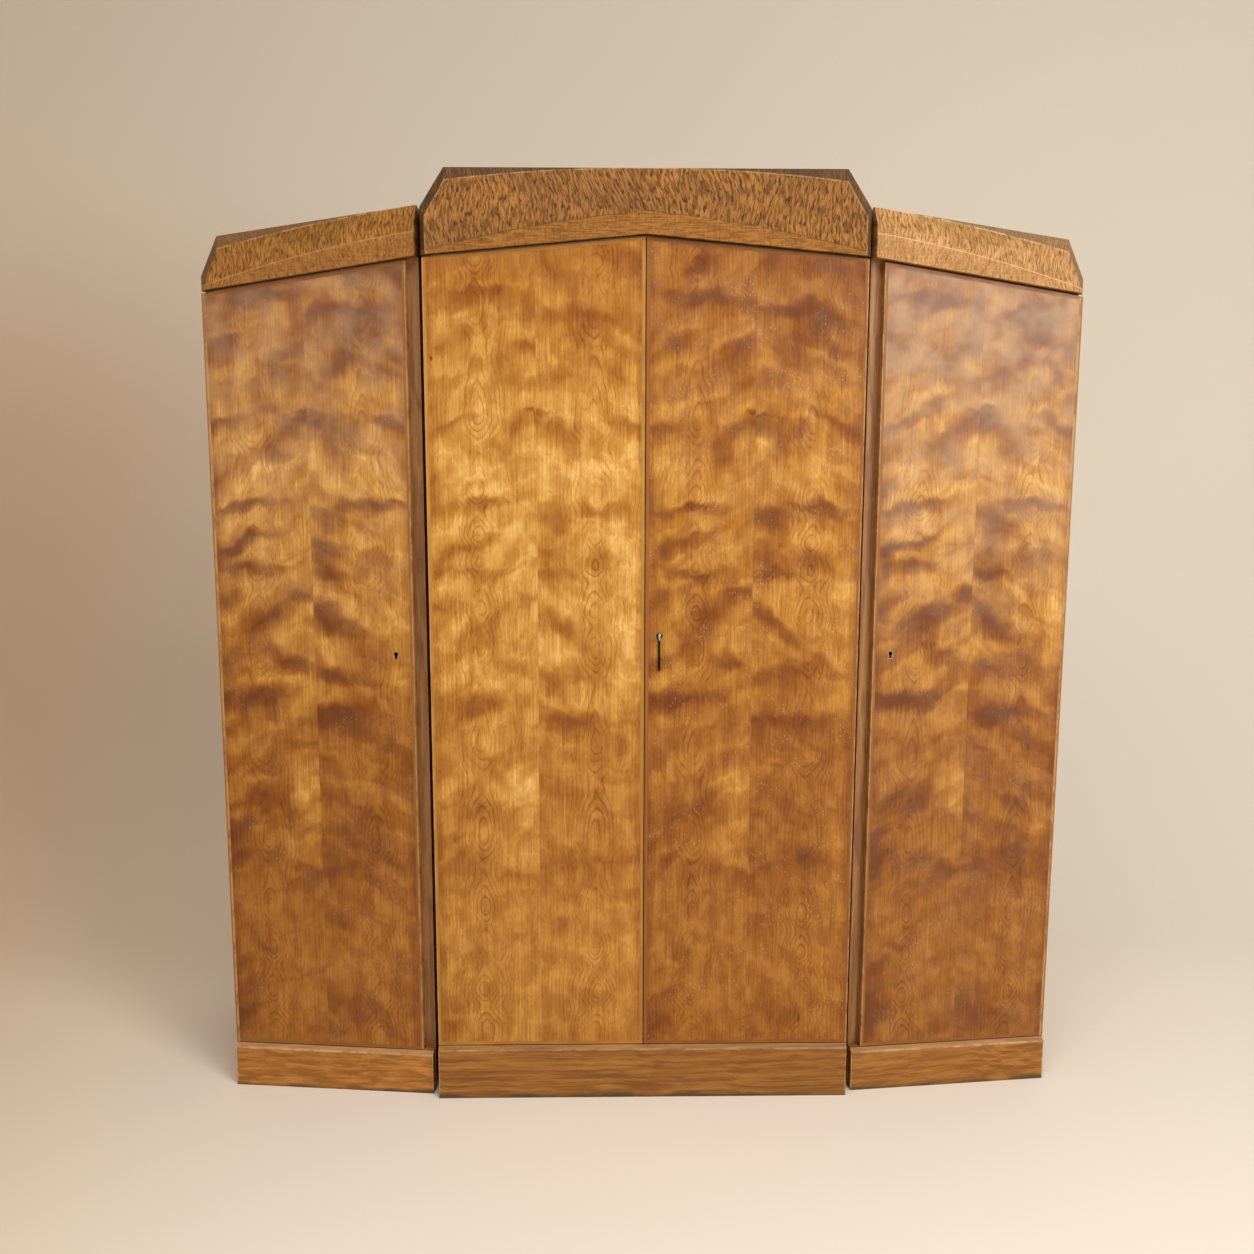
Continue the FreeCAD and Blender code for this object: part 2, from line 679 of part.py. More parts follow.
def rail_and_sockets(x0, x1, y, z):
    """A round hanging rail between two sides, in a cup at each end."""
    across = Vector(1, 0, 0)
    length = x1 - x0 - 2 * RAIL_SOCKET_FLOOR
    rail = rod(HANGING_RAIL_RADIUS, length, Vector(x0 + RAIL_SOCKET_FLOOR, y, z), across)
    seat = rod(
        HANGING_RAIL_RADIUS + RAIL_SOCKET_CLEARANCE, length, Vector(x0 + RAIL_SOCKET_FLOOR, y, z), across
    )
    sockets = []
    for start in (x0, x1 - RAIL_SOCKET_DEPTH):
        cup = rod(RAIL_SOCKET_RADIUS, RAIL_SOCKET_DEPTH, Vector(start, y, z), across)
        sockets.append(cup.cut(seat))
    return rail, sockets


def tie_places():
    low = WING_PLINTH + BOARD + TIE_BOLT_INSET
    high = WING_OPENING_TOP - TIE_BOLT_INSET
    return [(BACK_Y - TIE_BOLT_FROM_BACK, z) for z in (low, high)]


def tie_holes():
    """The holes for the bolts that tie the right wing to the centre unit."""
    x0 = CENTRE_HALF - BOARD
    length = BOARD + UNIT_GAP + INNER_SIDE
    return [rod(TIE_BOLT_RADIUS, length, Vector(x0, y, z), Vector(1, 0, 0)) for y, z in tie_places()]


def tie_bolts():
    across = Vector(1, 0, 0)
    x0 = CENTRE_HALF - BOARD
    x1 = WING_INNER_X + INNER_SIDE
    bolts = []
    for shank, (y, z) in zip(tie_holes(), tie_places()):
        near_head = rod(TIE_BOLT_HEAD_RADIUS, TIE_BOLT_HEAD, Vector(x0 - TIE_BOLT_HEAD, y, z), across)
        far_head = rod(TIE_BOLT_HEAD_RADIUS, TIE_BOLT_HEAD, Vector(x1, y, z), across)
        spacer = rod(TIE_SPACER_RADIUS, UNIT_GAP, Vector(CENTRE_HALF, y, z), across)
        bolts.append(shank.fuse([near_head, far_head, spacer]).removeSplitter())
    return bolts


def centre_unit(parts):
    inside = CENTRE_HALF - BOARD
    face = centre_line(0)
    top_bolt, top_casing, top_hole = door_bolt_set(CENTRE_OPENING_TOP, 1)
    low_bolt, low_casing, low_hole = door_bolt_set(CENTRE_PLINTH + BOARD, -1)
    side = board(inside, CENTRE_HALF, face, PANEL_Y, CENTRE_PLINTH, EAVES)
    side = side.cut([placed(cut, CENTRE) for cut in hinge_recesses(CENTRE, 0)] + tie_holes())
    half_rail = placed(header_rail(CENTRE, 0, inside, CENTRE_OPENING_TOP, CENTRE_RAIL_RISE), CENTRE)
    rail = half_rail.fuse(mirrored(half_rail)).removeSplitter()
    base = board(-inside, inside, face, PANEL_Y, CENTRE_PLINTH, CENTRE_PLINTH + BOARD)
    top_line = centre_line(BOARD)
    opening_top = CENTRE_OPENING_TOP
    shelf_line = centre_line(SHELF_SETBACK)
    parts["centre_plinth"] = centre_plinth()
    parts["centre_base_board"] = base.cut(low_hole)
    parts["centre_right_side"] = side
    parts["centre_left_side"] = mirrored(side)
    parts["centre_top_board"] = board(-inside, inside, top_line, PANEL_Y, opening_top, opening_top + BOARD)
    parts["centre_back_panel"] = block(
        -CENTRE_HALF, CENTRE_HALF, PANEL_Y, BACK_Y, CENTRE_PLINTH, opening_top + BOARD
    )
    parts["centre_header_rail"] = rail.cut(top_hole)
    parts["centre_cornice_fascia"] = centre_cornice_fascia()
    parts["centre_cornice_returns"] = both_sides(centre_cornice_return())
    parts["centre_hat_shelf"] = board(
        -inside, inside, shelf_line, PANEL_Y, HAT_SHELF_TOP - SHELF_BOARD, HAT_SHELF_TOP
    )
    parts["door_bolt_casings"] = Part.makeCompound([top_casing, low_casing])
    parts["top_door_bolt"] = top_bolt
    parts["bottom_door_bolt"] = low_bolt


def wing_boards():
    """The right wing's carcass, by the name that each piece has after its side."""
    x0 = WING_INNER_X + INNER_SIDE
    x1 = WING_OUTER_X - BOARD
    face = wing_line(0)
    top = WING_OPENING_TOP
    outer = board(x1, WING_OUTER_X, face, PANEL_Y, WING_PLINTH, WING.eaves_at(WING_LENGTH))
    inner = board(WING_INNER_X, x0, face, PANEL_Y, WING_PLINTH, EAVES)
    keep = wing_keep_recess()
    rail_u1 = (WING_WIDTH - BOARD - BOARD * math.sin(RAKE)) / math.cos(RAKE)
    rail_u0 = INNER_SIDE / math.cos(RAKE) + BOARD * math.tan(RAKE)
    return {
        "plinth": wing_plinth(),
        "base_board": board(x0, x1, face, PANEL_Y, WING_PLINTH, WING_PLINTH + BOARD),
        "inner_side": inner.cut([keep, wing_mortise()] + tie_holes()),
        "outer_side": outer.cut([placed(cut, WING) for cut in hinge_recesses(WING, 0)]),
        "top_board": board(x0, x1, wing_line(BOARD), PANEL_Y, top, top + BOARD),
        "back_panel": block(WING_INNER_X, WING_OUTER_X, PANEL_Y, BACK_Y, WING_PLINTH, top + BOARD),
        "header_rail": placed(header_rail(WING, rail_u0, rail_u1, top, WING_RAIL_RISE), WING),
        "cornice_fascia": placed(cornice_fascia(WING), WING),
        "cornice_returns": wing_cornice_returns(),
    }


def wing_shelves():
    """Shelves at even heights between the right wing's sides."""
    x0 = WING_INNER_X + INNER_SIDE
    x1 = WING_OUTER_X - BOARD
    floor = WING_PLINTH + BOARD
    step = (WING_OPENING_TOP - floor) / (SHELF_COUNT + 1)
    line = wing_line(SHELF_SETBACK)
    shelves = []
    for place in range(1, SHELF_COUNT + 1):
        z = floor + place * step
        shelves.append(board(x0, x1, line, PANEL_Y, z - SHELF_BOARD, z))
    return Part.makeCompound(shelves)


def wing_units(parts):
    for name, shape in wing_boards().items():
        parts["right_" + name] = shape
        parts["left_" + name] = mirrored(shape)
    parts["right_shelves"] = wing_shelves()


def hanging_rails(parts):
    inside = CENTRE_HALF - BOARD
    middle_y = (CENTRE_FACE_Y + PANEL_Y) / 2
    shelf_foot = HAT_SHELF_TOP - SHELF_BOARD
    centre_rail, centre_sockets = rail_and_sockets(-inside, inside, middle_y, shelf_foot - CENTRE_RAIL_DROP)
    x0 = -WING_OUTER_X + BOARD
    x1 = -WING_INNER_X - INNER_SIDE
    wing_z = WING_OPENING_TOP - WING_RAIL_DROP
    wing_y = (wing_line(0)((WING_INNER_X + WING_OUTER_X) / 2) + PANEL_Y) / 2
    left_rail, left_sockets = rail_and_sockets(x0, x1, wing_y, wing_z)
    parts["centre_hanging_rail"] = centre_rail
    parts["left_hanging_rail"] = left_rail
    parts["rail_sockets"] = Part.makeCompound(centre_sockets + left_sockets)


def doors(parts):
    """Right-hand doors in their fronts' frames, and left-hand ones as their mirror images."""
    for front, name in ((CENTRE, "centre"), (WING, "wing")):
        leaves = placed(hinge_leaves(front, DOOR_LEAF_V, 1), front)
        lipping = placed(door_lipping(front), front)
        right_panel = placed(door_panel(front, True), front)
        left_panel = mirrored(placed(door_panel(front, front is WING), front))
        parts["right_" + name + "_door_panel"] = right_panel
        parts["left_" + name + "_door_panel"] = left_panel
        for side, turn in (("right_", Part.Shape.copy), ("left_", mirrored)):
            parts[side + name + "_door_lipping"] = turn(lipping)
            parts[side + name + "_door_hinge_leaves"] = turn(leaves)


def shared_hardware(parts):
    fixed_leaves = []
    pins = []
    for front in (CENTRE, WING):
        fixed_leaves.append(both_sides(placed(hinge_leaves(front, 0, 0), front)))
        pins.append(both_sides(placed(hinge_pins(front), front)))
    parts["carcass_hinge_leaves"] = Part.makeCompound(fixed_leaves)
    parts["hinge_pins"] = Part.makeCompound(pins)
    parts["keep_plates"] = both_sides(wing_keep_recess().cut(wing_keep_space()))
    bolts = tie_bolts()
    parts["connecting_bolts"] = Part.makeCompound(bolts + [mirrored(bolt) for bolt in bolts])


def locks(parts):
    wing_case = placed(lock_case(WING), WING)
    wing_bolt = placed(lock_bolt(WING), WING)
    parts["centre_lock_case"] = placed(lock_case(CENTRE), CENTRE)
    parts["centre_lock_bolt"] = placed(lock_bolt(CENTRE), CENTRE)
    parts["centre_lock_keep"] = centre_lock_keep()
    parts["right_wing_lock_case"] = wing_case
    parts["right_wing_lock_bolt"] = wing_bolt
    parts["left_wing_lock_case"] = mirrored(wing_case)
    parts["left_wing_lock_bolt"] = mirrored(wing_bolt)
    parts["key"] = key()
    parts["key_fob"] = key_fob()


def build():
    parts = {}
    centre_unit(parts)
    wing_units(parts)
    hanging_rails(parts)
    doors(parts)
    shared_hardware(parts)
    locks(parts)
    return parts


os.makedirs("parts", exist_ok=True)
for node, shape in build().items():
    shape.exportStep("parts/" + node + ".step")
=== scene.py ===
import math

import bmesh
import bpy
from mathutils import Matrix, Vector


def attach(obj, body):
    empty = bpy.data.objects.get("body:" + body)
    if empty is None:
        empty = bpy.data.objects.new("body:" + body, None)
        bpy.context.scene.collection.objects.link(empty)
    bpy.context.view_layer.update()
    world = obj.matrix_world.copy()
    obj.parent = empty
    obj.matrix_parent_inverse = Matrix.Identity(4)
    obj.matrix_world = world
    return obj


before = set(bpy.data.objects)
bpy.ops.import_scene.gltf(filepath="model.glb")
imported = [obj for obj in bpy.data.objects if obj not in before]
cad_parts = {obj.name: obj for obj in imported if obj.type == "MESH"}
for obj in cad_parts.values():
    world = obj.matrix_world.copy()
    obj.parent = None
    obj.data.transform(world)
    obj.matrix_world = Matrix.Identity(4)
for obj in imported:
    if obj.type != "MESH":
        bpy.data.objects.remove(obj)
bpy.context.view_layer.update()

# The view: a camera on a stand at eye height, a little left of the wardrobe's middle and tilted down.
# Its place and lens were fitted to the corners of the wardrobe in the photograph.
camera_place = Vector((-0.094, -3.0901, 1.5269))
camera_yaw = math.radians(1.156)
camera_pitch = math.radians(9.732)
camera_roll = math.radians(0.119)
ahead = Vector((
    math.sin(camera_yaw) * math.cos(camera_pitch),
    math.cos(camera_yaw) * math.cos(camera_pitch),
    -math.sin(camera_pitch),
))
level = Vector((math.cos(camera_yaw), -math.sin(camera_yaw), 0.0))
above = level.cross(ahead)
camera_right = level * math.cos(camera_roll) + above * math.sin(camera_roll)
camera_up = above * math.cos(camera_roll) - level * math.sin(camera_roll)
camera = bpy.data.objects.new("camera", bpy.data.cameras.new("camera"))
film_width = 36.0
focal_pixels = 1400.0
picture_pixels = 1254.0
camera.data.sensor_width = film_width
camera.data.lens = film_width * focal_pixels / picture_pixels
turn = Matrix((camera_right, camera_up, -ahead)).transposed().to_4x4()
camera.matrix_world = Matrix.Translation(camera_place) @ turn
scene = bpy.context.scene
scene.collection.objects.link(camera)
scene.camera = camera
scene.view_settings.view_transform = "Standard"


# The studio: a roll of warm pale paper, laid on the floor and carried up behind the wardrobe in one sweep.
# It shows only from its front, so that the back of the wardrobe can be seen from behind it.
def add(tree, kind, inputs=None, **settings):
    """A new shader node. Inputs take a value or the socket that feeds them."""
    made = tree.nodes.new("ShaderNode" + kind)
    for name, value in settings.items():
        setattr(made, name, value)
    for name, value in (inputs or {}).items():
        socket = made.inputs[name]
        if isinstance(value, bpy.types.NodeSocket):
            tree.links.new(value, socket)
        else:
            socket.default_value = (*value, 1.0) if socket.type == "RGBA" else value
    return made


def fed(kind, inputs, **settings):
    """A new shader node, in the tree of the sockets that feed it."""
    feeds = [value for value in inputs.values() if isinstance(value, bpy.types.NodeSocket)]
    return add(feeds[0].id_data, kind, inputs, **settings)


def maths(operation, a, b=0.0, c=0.0):
    return fed("Math", {0: a, 1: b, 2: c}, operation=operation).outputs[0]


def times(a, b, plus=0.0):
    return maths("MULTIPLY_ADD", a, b, plus)


def split(vector):
    return fed("SeparateXYZ", {0: vector}).outputs


def faded(amount, start, end, low, high):
    """Goes smoothly from low, where the amount is at the start, to high at the end."""
    inputs = {0: amount, 1: start, 2: end, 3: low, 4: high}
    return fed("MapRange", inputs, interpolation_type="SMOOTHSTEP").outputs[0]


def mixed(amount, a, b, blend_type="MIX"):
    """One colour laid over another."""
    inputs = {0: amount, 6: a, 7: b}
    return fed("Mix", inputs, data_type="RGBA", blend_type=blend_type).outputs[2]


def tinted(body, mask, strength, colour, blend_type="MIX"):
    """A colour laid over the body where the mask is, at a strength."""
    return mixed(times(mask, strength), body, colour, blend_type)


def noise(vector, scale, detail=2.0, roughness=0.5):
    inputs = {"Vector": vector, "Scale": scale, "Detail": detail, "Roughness": roughness}
    return fed("TexNoise", inputs).outputs["Fac"]


def new_material(name):
    """An empty material, with the places on its piece and the ways that the faces look."""
    made = bpy.data.materials.new(name)
    made.use_nodes = True
    made.node_tree.nodes.clear()
    coordinates = add(made.node_tree, "TexCoord").outputs
    return made, coordinates["Object"], coordinates["Normal"]


def new_piece(name, mesh):
    made = bpy.data.objects.new(name, mesh)
    scene.collection.objects.link(made)
    return made


paper_reach = 9.0
paper_front = -8.0
sweep_start = 0.6
sweep_radius = 1.5
paper_top = 7.0
sweep_steps = 16
paper_line = [(paper_front, 0.0), (-3.0, 0.0), (0.0, 0.0)]
for step in range(sweep_steps + 1):
    bend = math.radians(90.0 * step / sweep_steps)
    along = sweep_start + sweep_radius * math.sin(bend)
    rise = sweep_radius * (1.0 - math.cos(bend))
    paper_line.append((along, rise))
paper_line.append((sweep_start + sweep_radius, paper_top))
paper_mesh = bpy.data.meshes.new("paper_sweep")
corners = [(side * paper_reach, y, z) for y, z in paper_line for side in (-1, 1)]
strips = [(2 * k, 2 * k + 1, 2 * k + 3, 2 * k + 2) for k in range(len(paper_line) - 1)]
paper_mesh.from_pydata(corners, [], strips)
for strip in paper_mesh.polygons:
    strip.use_smooth = True
paper = new_piece("paper_sweep", paper_mesh)
paper_finish, place = new_material("pale_paper")[:2]
cloud = noise(place, 0.9, 3.0)
paper_tone = mixed(cloud, (0.87, 0.788, 0.675), (0.905, 0.824, 0.712))
# Painted shadow: the paper is browned on the left and low down, where the wardrobe's shadow falls from the
# right-hand lamp, and painted shade darkens it a little higher up.
spot = split(place)
left_shadow_part = faded(spot["X"], -0.4, -2.3, 0.0, 1.0)
low_shadow_part = faded(spot["Z"], 2.5, 1.2, 0.4, 1.0)
paper_tone = tinted(paper_tone, left_shadow_part, low_shadow_part, (0.75, 0.555, 0.385))
high_shade_part = faded(spot["Z"], 0.2, 2.6, 0.0, 0.2)
paper_tone = mixed(high_shade_part, paper_tone, (0.76, 0.655, 0.535))
paper_face = fed("BsdfPrincipled", {"Base Color": paper_tone, "Roughness": 0.85})
paper_back = add(paper_finish.node_tree, "BsdfTransparent")
behind = add(paper_finish.node_tree, "NewGeometry").outputs["Backfacing"]
shown = fed("MixShader", {0: behind, 1: paper_face.outputs[0], 2: paper_back.outputs[0]})
fed("OutputMaterial", {"Surface": shown.outputs[0]})
paper_mesh.materials.append(paper_finish)


# Studio lamps: a large soft box high on the right, which pales the right wing and throws the shadow left,
# a weak one on the left, and one overhead for the floor in front. A soft even light comes from the room.
def soft_box(name, spot, target, width, height, watts, tint):
    lamp = bpy.data.lights.new(name, "AREA")
    lamp.shape = "RECTANGLE"
    lamp.size = width
    lamp.size_y = height
    lamp.energy = watts
    lamp.color = tint
    made = bpy.data.objects.new(name, lamp)
    made.location = spot
    made.rotation_euler = (Vector(target) - Vector(spot)).to_track_quat("-Z", "Y").to_euler()
    scene.collection.objects.link(made)


soft_box("right_soft_box", (3.1, -4.2, 2.6), (0.1, 0.0, 0.9), 2.2, 2.4, 143.0, (1.0, 0.98, 0.95))
soft_box("left_soft_box", (-3.2, -4.4, 2.2), (0.0, 0.0, 0.9), 2.0, 2.6, 29.0, (1.0, 0.97, 0.94))
soft_box("floor_soft_box", (0.4, -2.5, 3.4), (0.4, -2.3, 0.0), 3.0, 1.4, 78.0, (1.0, 0.99, 0.97))
room = bpy.data.worlds.new("room")
scene.world = room
room.use_nodes = True
room.node_tree.nodes.clear()
glow = add(room.node_tree, "Background", {"Color": (1.0, 0.93, 0.84), "Strength": 0.34})
add(room.node_tree, "OutputWorld", {"Surface": glow.outputs[0]})


# Plinths: frames of solid birch boards under each unit, stained brown, with a chamfer planed on the front.
# Their feet are darker towards the floor, and mops and shoes have rubbed the stain off their edges.
def ramp(amount, stops, interpolation="EASE"):
    """A colour ramp. Each stop is a place from 0 to 1 and a grey level or a colour."""
    made = fed("ValToRGB", {0: amount})
    scale = made.color_ramp
    scale.interpolation = interpolation
    while len(scale.elements) < len(stops):
        scale.elements.new(1.0)
    for stop, (place, value) in zip(scale.elements, stops):
        stop.position = place
        stop.color = (*value, 1.0) if isinstance(value, tuple) else (value, value, value, 1.0)
    return made.outputs[0]


def up_from(amount, start, end):
    """Rises from 0 at the start to 1 at the end."""
    return ramp(amount, [(start, 0.0), (end, 1.0)])


def down_from(amount, start, end):
    """Falls from 1 at the start to 0 at the end."""
    return ramp(amount, [(start, 1.0), (end, 0.0)])


def new_group(name, inputs, outputs, taken_kind="NodeSocketFloat"):
    """An empty node group with its named sockets."""
    made = bpy.data.node_groups.new(name, "ShaderNodeTree")
    for title in inputs:
        made.interface.new_socket(title, in_out="INPUT", socket_type=taken_kind)
    for title in outputs:
        made.interface.new_socket(title, in_out="OUTPUT", socket_type="NodeSocketFloat")
    taken = made.nodes.new("NodeGroupInput")
    given = made.nodes.new("NodeGroupOutput")
    return made, taken.outputs, given.inputs


def placed_group(group, inputs):
    return fed("Group", inputs, node_tree=group).outputs


def send(value, socket):
    """Joins a value to one of a group's outputs."""
    socket.id_data.links.new(value, socket)


def less(a, b):
    return maths("SUBTRACT", a, b)


def apart(a, b):
    return maths("ABSOLUTE", less(a, b))


def between(amount, low, high):
    """Low where the amount is 0 and high where it is 1."""
    return fed("MapRange", {0: amount, 3: low, 4: high}).outputs[0]


def scaled(vector, factors):
    return fed("VectorMath", {0: vector, 1: factors}, operation="MULTIPLY").outputs[0]


def measured(vector, way):
    """How far a place lies along a way."""
    return fed("VectorMath", {0: vector, 1: way}, operation="DOT_PRODUCT").outputs["Value"]


def surface(body, rough, relief, strength, depth, more=None):
    """Ends a material: its colour, its roughness and a relief so many metres deep."""
    bump = fed("Bump", {"Height": relief, "Strength": strength, "Distance": depth}).outputs[0]
    inputs = {"Base Color": body, "Roughness": rough, "Normal": bump, **(more or {})}
    shader = fed("BsdfPrincipled", inputs)
    fed("OutputMaterial", {"Surface": shader.outputs[0]})


board_grain, taken, given = new_group(
    "board_grain",
    ["Place", "Along the grain"],
    ["Streaks", "Fibres", "Blotches", "Flecks"],
    "NodeSocketVector",
)
drift = noise(taken["Place"], 5.0, 2.0)
drift_inputs = {0: drift, 1: (0.03, 0.03, 0.03), 2: taken["Along the grain"]}
drifted = fed("VectorMath", drift_inputs, operation="MULTIPLY_ADD").outputs[0]
streaks = noise(drifted, 110.0, 4.0, 0.62)
fibres = noise(drifted, 750.0, 2.0, 0.6)
blotches = noise(taken["Place"], 7.0, 3.0, 0.55)
fleck_inputs = {"Vector": drifted, "Scale": 260.0, "Randomness": 1.0}
fleck_cells = fed("TexVoronoi", fleck_inputs).outputs["Distance"]
send(up_from(streaks, 0.33, 0.68), given["Streaks"])
send(up_from(fibres, 0.3, 0.7), given["Fibres"])
send(up_from(blotches, 0.3, 0.7), given["Blotches"])
send(down_from(fleck_cells, 0.05, 0.22), given["Flecks"])


def grained(place, stretch):
    """The grain of a board. Stretch is small along the grain."""
    return placed_group(board_grain, {"Place": place, "Along the grain": scaled(place, stretch)})


def wood_tones(grain, dark, mid, pale, middle=0.45):
    """A board's colour, from its dark streaks to its pale ones."""
    return ramp(grain["Streaks"], [(0.0, dark), (middle, mid), (1.0, pale)], "LINEAR")


def wood_surface(grain, body, rough, smooth, strength, depth, more=None):
    """Ends a board's material, with its streaks a little raised and smoother."""
    relief = times(grain["Fibres"], 0.4, grain["Streaks"])
    surface(body, between(grain["Streaks"], rough, smooth), relief, strength, depth, more)


def board_finish(name, stretch, pale, mid, dark, shine=0.5, dusty=False):
    """Solid or plainly veneered birch."""
    made, place, normal = new_material(name)
    grain = grained(place, stretch)
    body = wood_tones(grain, dark, mid, pale)
    body = tinted(body, grain["Fibres"], 0.35, mid, "MULTIPLY")
    body = tinted(body, grain["Blotches"], 0.3, dark)
    body = tinted(body, grain["Flecks"], 0.35, dark)
    if dusty:
        up = split(normal)["Z"]
        lying = times(up_from(up, 0.6, 0.9), grain["Blotches"])
        body = tinted(body, lying, 0.55, (0.36, 0.33, 0.29))
    wood_surface(grain, body, shine + 0.1, shine - 0.08, 0.25, 0.0004)
    return made


def worn_edge(name, rubbed, stained):
    """The eased edge of a stained board, rubbed through to pale wood here and there."""
    made, place = new_material(name)[:2]
    patches = noise(place, 38.0, 4.0, 0.65)
    rubs = up_from(patches, 0.36, 0.62)
    body = mixed(rubs, stained, rubbed)
    rough = between(patches, 0.42, 0.62)
    surface(body, rough, patches, 0.3, 0.0006)
    return made


def dress(name, finish, edge=None, ease=0.0):
    """Gives a CAD piece its finish, and eases its sharp edges by a small round."""
    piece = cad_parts[name]
    piece.data.materials.clear()
    piece.data.materials.append(finish)
    if edge:
        piece.data.materials.append(edge)
    if ease:
        join = piece.modifiers.new("joined_corners", "WELD")
        join.merge_threshold = same_corner
        eased = piece.modifiers.new("eased_edges", "BEVEL")
        eased.width = ease
        eased.segments = 2
        eased.limit_method = "ANGLE"
        eased.angle_limit = sharp_angle
        eased.use_clamp_overlap = False
        eased.material = 1 if edge else -1


def plinth_finish(name, top, across, start, length, light, chamfer_highlight_and_rubs):
    """A plinth's wood. Across runs along its front from its start. Light is how far its stain is worn."""
    made, place, normal = new_material(name)
    facing = split(normal)
    front = maths("LESS_THAN", facing["Y"], -0.3)
    sideways = maths("GREATER_THAN", maths("ABSOLUTE", facing["X"]), 0.8)
    along = less(measured(place, across), start)
    height = split(place)["Z"]
    grain = grained(place, mixed(sideways, crossways, backways))
    dark = (0.235 * light, 0.087 * light, 0.015 * light)
    mid = (0.34 * light, 0.132 * light, 0.023 * light)
    pale = (0.45 * light, 0.195 * light, 0.042 * light)
    body = wood_tones(grain, dark, mid, pale)
    body = tinted(body, grain["Blotches"], 0.35, dark)
    body = tinted(body, grain["Flecks"], 0.62, (0.09, 0.035, 0.01))
    # Painted highlight: the chamfer, which faces up to the lamps, is painted paler. The same amount sets
    # how strongly the arrises are rubbed.
    chamfer_foot = top - chamfer_height
    on_chamfer = times(maths("GREATER_THAN", height, chamfer_foot), front)
    body = tinted(body, on_chamfer, chamfer_highlight_and_rubs, (0.5, 0.3, 0.165))
    from_start = maths("ABSOLUTE", along)
    from_end = apart(along, length)
    from_chamfer = apart(height, chamfer_foot)
    nearest = maths("MINIMUM", maths("MINIMUM", from_start, from_end), from_chamfer)
    arris = times(nearest, arris_sharpness)
    rubs = ramp(noise(place, 30.0, 4.0, 0.65), [(0.38, 0.1), (0.62, 0.85)])
    arris = times(down_from(arris, 0.25, 0.8), rubs)
    arris = times(arris, times(front, min(1.0, 0.25 + 2.0 * chamfer_highlight_and_rubs)))
    body = mixed(arris, body, (0.56, 0.36, 0.2))
    foot = ramp(times(grain["Blotches"], 0.012, height), [(0.006, 0.85), (0.018, 0.0)])
    body = mixed(foot, body, (0.06, 0.034, 0.018))
    wood_surface(grain, body, 0.58, 0.42, 0.35, 0.0006, {"Specular IOR Level": 0.25})
    return made


units = ("centre", "left", "right")
centre_half = 0.443
centre_foot = 0.118
wing_foot = 0.096
wing_front = 0.44276
wing_corner_x = 0.454
wing_corner_y = -0.2015
wing_turn = math.radians(6.4)
wing_start = wing_corner_x * math.cos(wing_turn) + wing_corner_y * math.sin(wing_turn)
chamfer_height = 0.008
arris_sharpness = 250.0
same_corner = 0.00001
sharp_angle = math.radians(25.0)
crossways = (0.05, 1.0, 1.0)
backways = (1.0, 0.05, 1.0)
centre_way = (1.0, 0.0, 0.0)
right_way = (math.cos(wing_turn), math.sin(wing_turn), 0.0)
left_way = (-math.cos(wing_turn), math.sin(wing_turn), 0.0)
for unit, top, across, start, length, light, chamfer_highlight_and_rubs in (
    ("centre", centre_foot, centre_way, -centre_half, 2.0 * centre_half, 0.8, 0.1),
    ("left", wing_foot, left_way, wing_start, wing_front, 1.12, 0.35),
    ("right", wing_foot, right_way, wing_start, wing_front, 0.92, 0.28),
):
    wood = plinth_finish(unit + "_plinth_birch", top, across, start, length, light, chamfer_highlight_and_rubs)
    dress(unit + "_plinth", wood)


# Carcass sides: glued-up birch boards. Their outer faces and front edges are stained to go with the doors,
# and their inner faces are left pale under one thin coat.
inside_pale = (0.6, 0.415, 0.235)
inside_mid = (0.52, 0.34, 0.18)
inside_dark = (0.4, 0.245, 0.12)
stained_pale = (0.44, 0.208, 0.065)
stained_mid = (0.35, 0.155, 0.043)
stained_dark = (0.25, 0.106, 0.028)
upwards = (1.0, 1.0, 0.04)
side_ease = 0.0007


def side_finish(name, outward):
    """A side board: stained where it faces outwards or to the front, pale inside."""
    made, place, normal = new_material(name)
    grain = grained(place, upwards)
    facing = split(normal)
    outer = times(facing["X"], outward)
    front = times(facing["Y"], -1.0)
    outside = maths("GREATER_THAN", maths("MAXIMUM", outer, front), 0.5)
    outer_wood = wood_tones(grain, stained_dark, stained_mid, stained_pale, 0.5)
    inner_wood = wood_tones(grain, inside_dark, inside_mid, inside_pale, 0.5)
    body = mixed(outside, inner_wood, outer_wood)
    body = tinted(body, grain["Fibres"], 0.22, (0.55, 0.45, 0.36), "MULTIPLY")
    body = tinted(body, grain["Blotches"], 0.25, (0.5, 0.4, 0.3), "MULTIPLY")
    wood_surface(grain, body, 0.56, 0.44, 0.25, 0.0004)
    return made


facing_right = side_finish("side_facing_right", 1.0)
facing_left = side_finish("side_facing_left", -1.0)
side_edge = worn_edge("side_rubbed_edge", (0.4, 0.24, 0.13), (0.17, 0.08, 0.03))
for finish, side_names in (
    (facing_right, ("centre_right_side", "right_outer_side", "left_inner_side")),
    (facing_left, ("centre_left_side", "right_inner_side", "left_outer_side")),
):
    for side_name in side_names:
        dress(side_name, finish, side_edge, side_ease)


# Base boards, top boards and header rails: plain birch boards, planed and housed between the sides.
# They are left pale inside, and the tops of the units have darkened under dust.
board_ease = 0.0006
cross_board = board_finish("cross_board_birch", crossways, inside_pale, inside_mid, inside_dark, 0.55)
dusty_board = board_finish(
    "dusty_top_birch", crossways,
    (0.4, 0.27, 0.16), (0.33, 0.22, 0.12), (0.26, 0.16, 0.085), 0.7, dusty=True,
)
for unit in units:
    dress(unit + "_base_board", cross_board, None, board_ease)
    dress(unit + "_header_rail", cross_board, None, board_ease)
    dress(unit + "_top_board", dusty_board, None, board_ease)


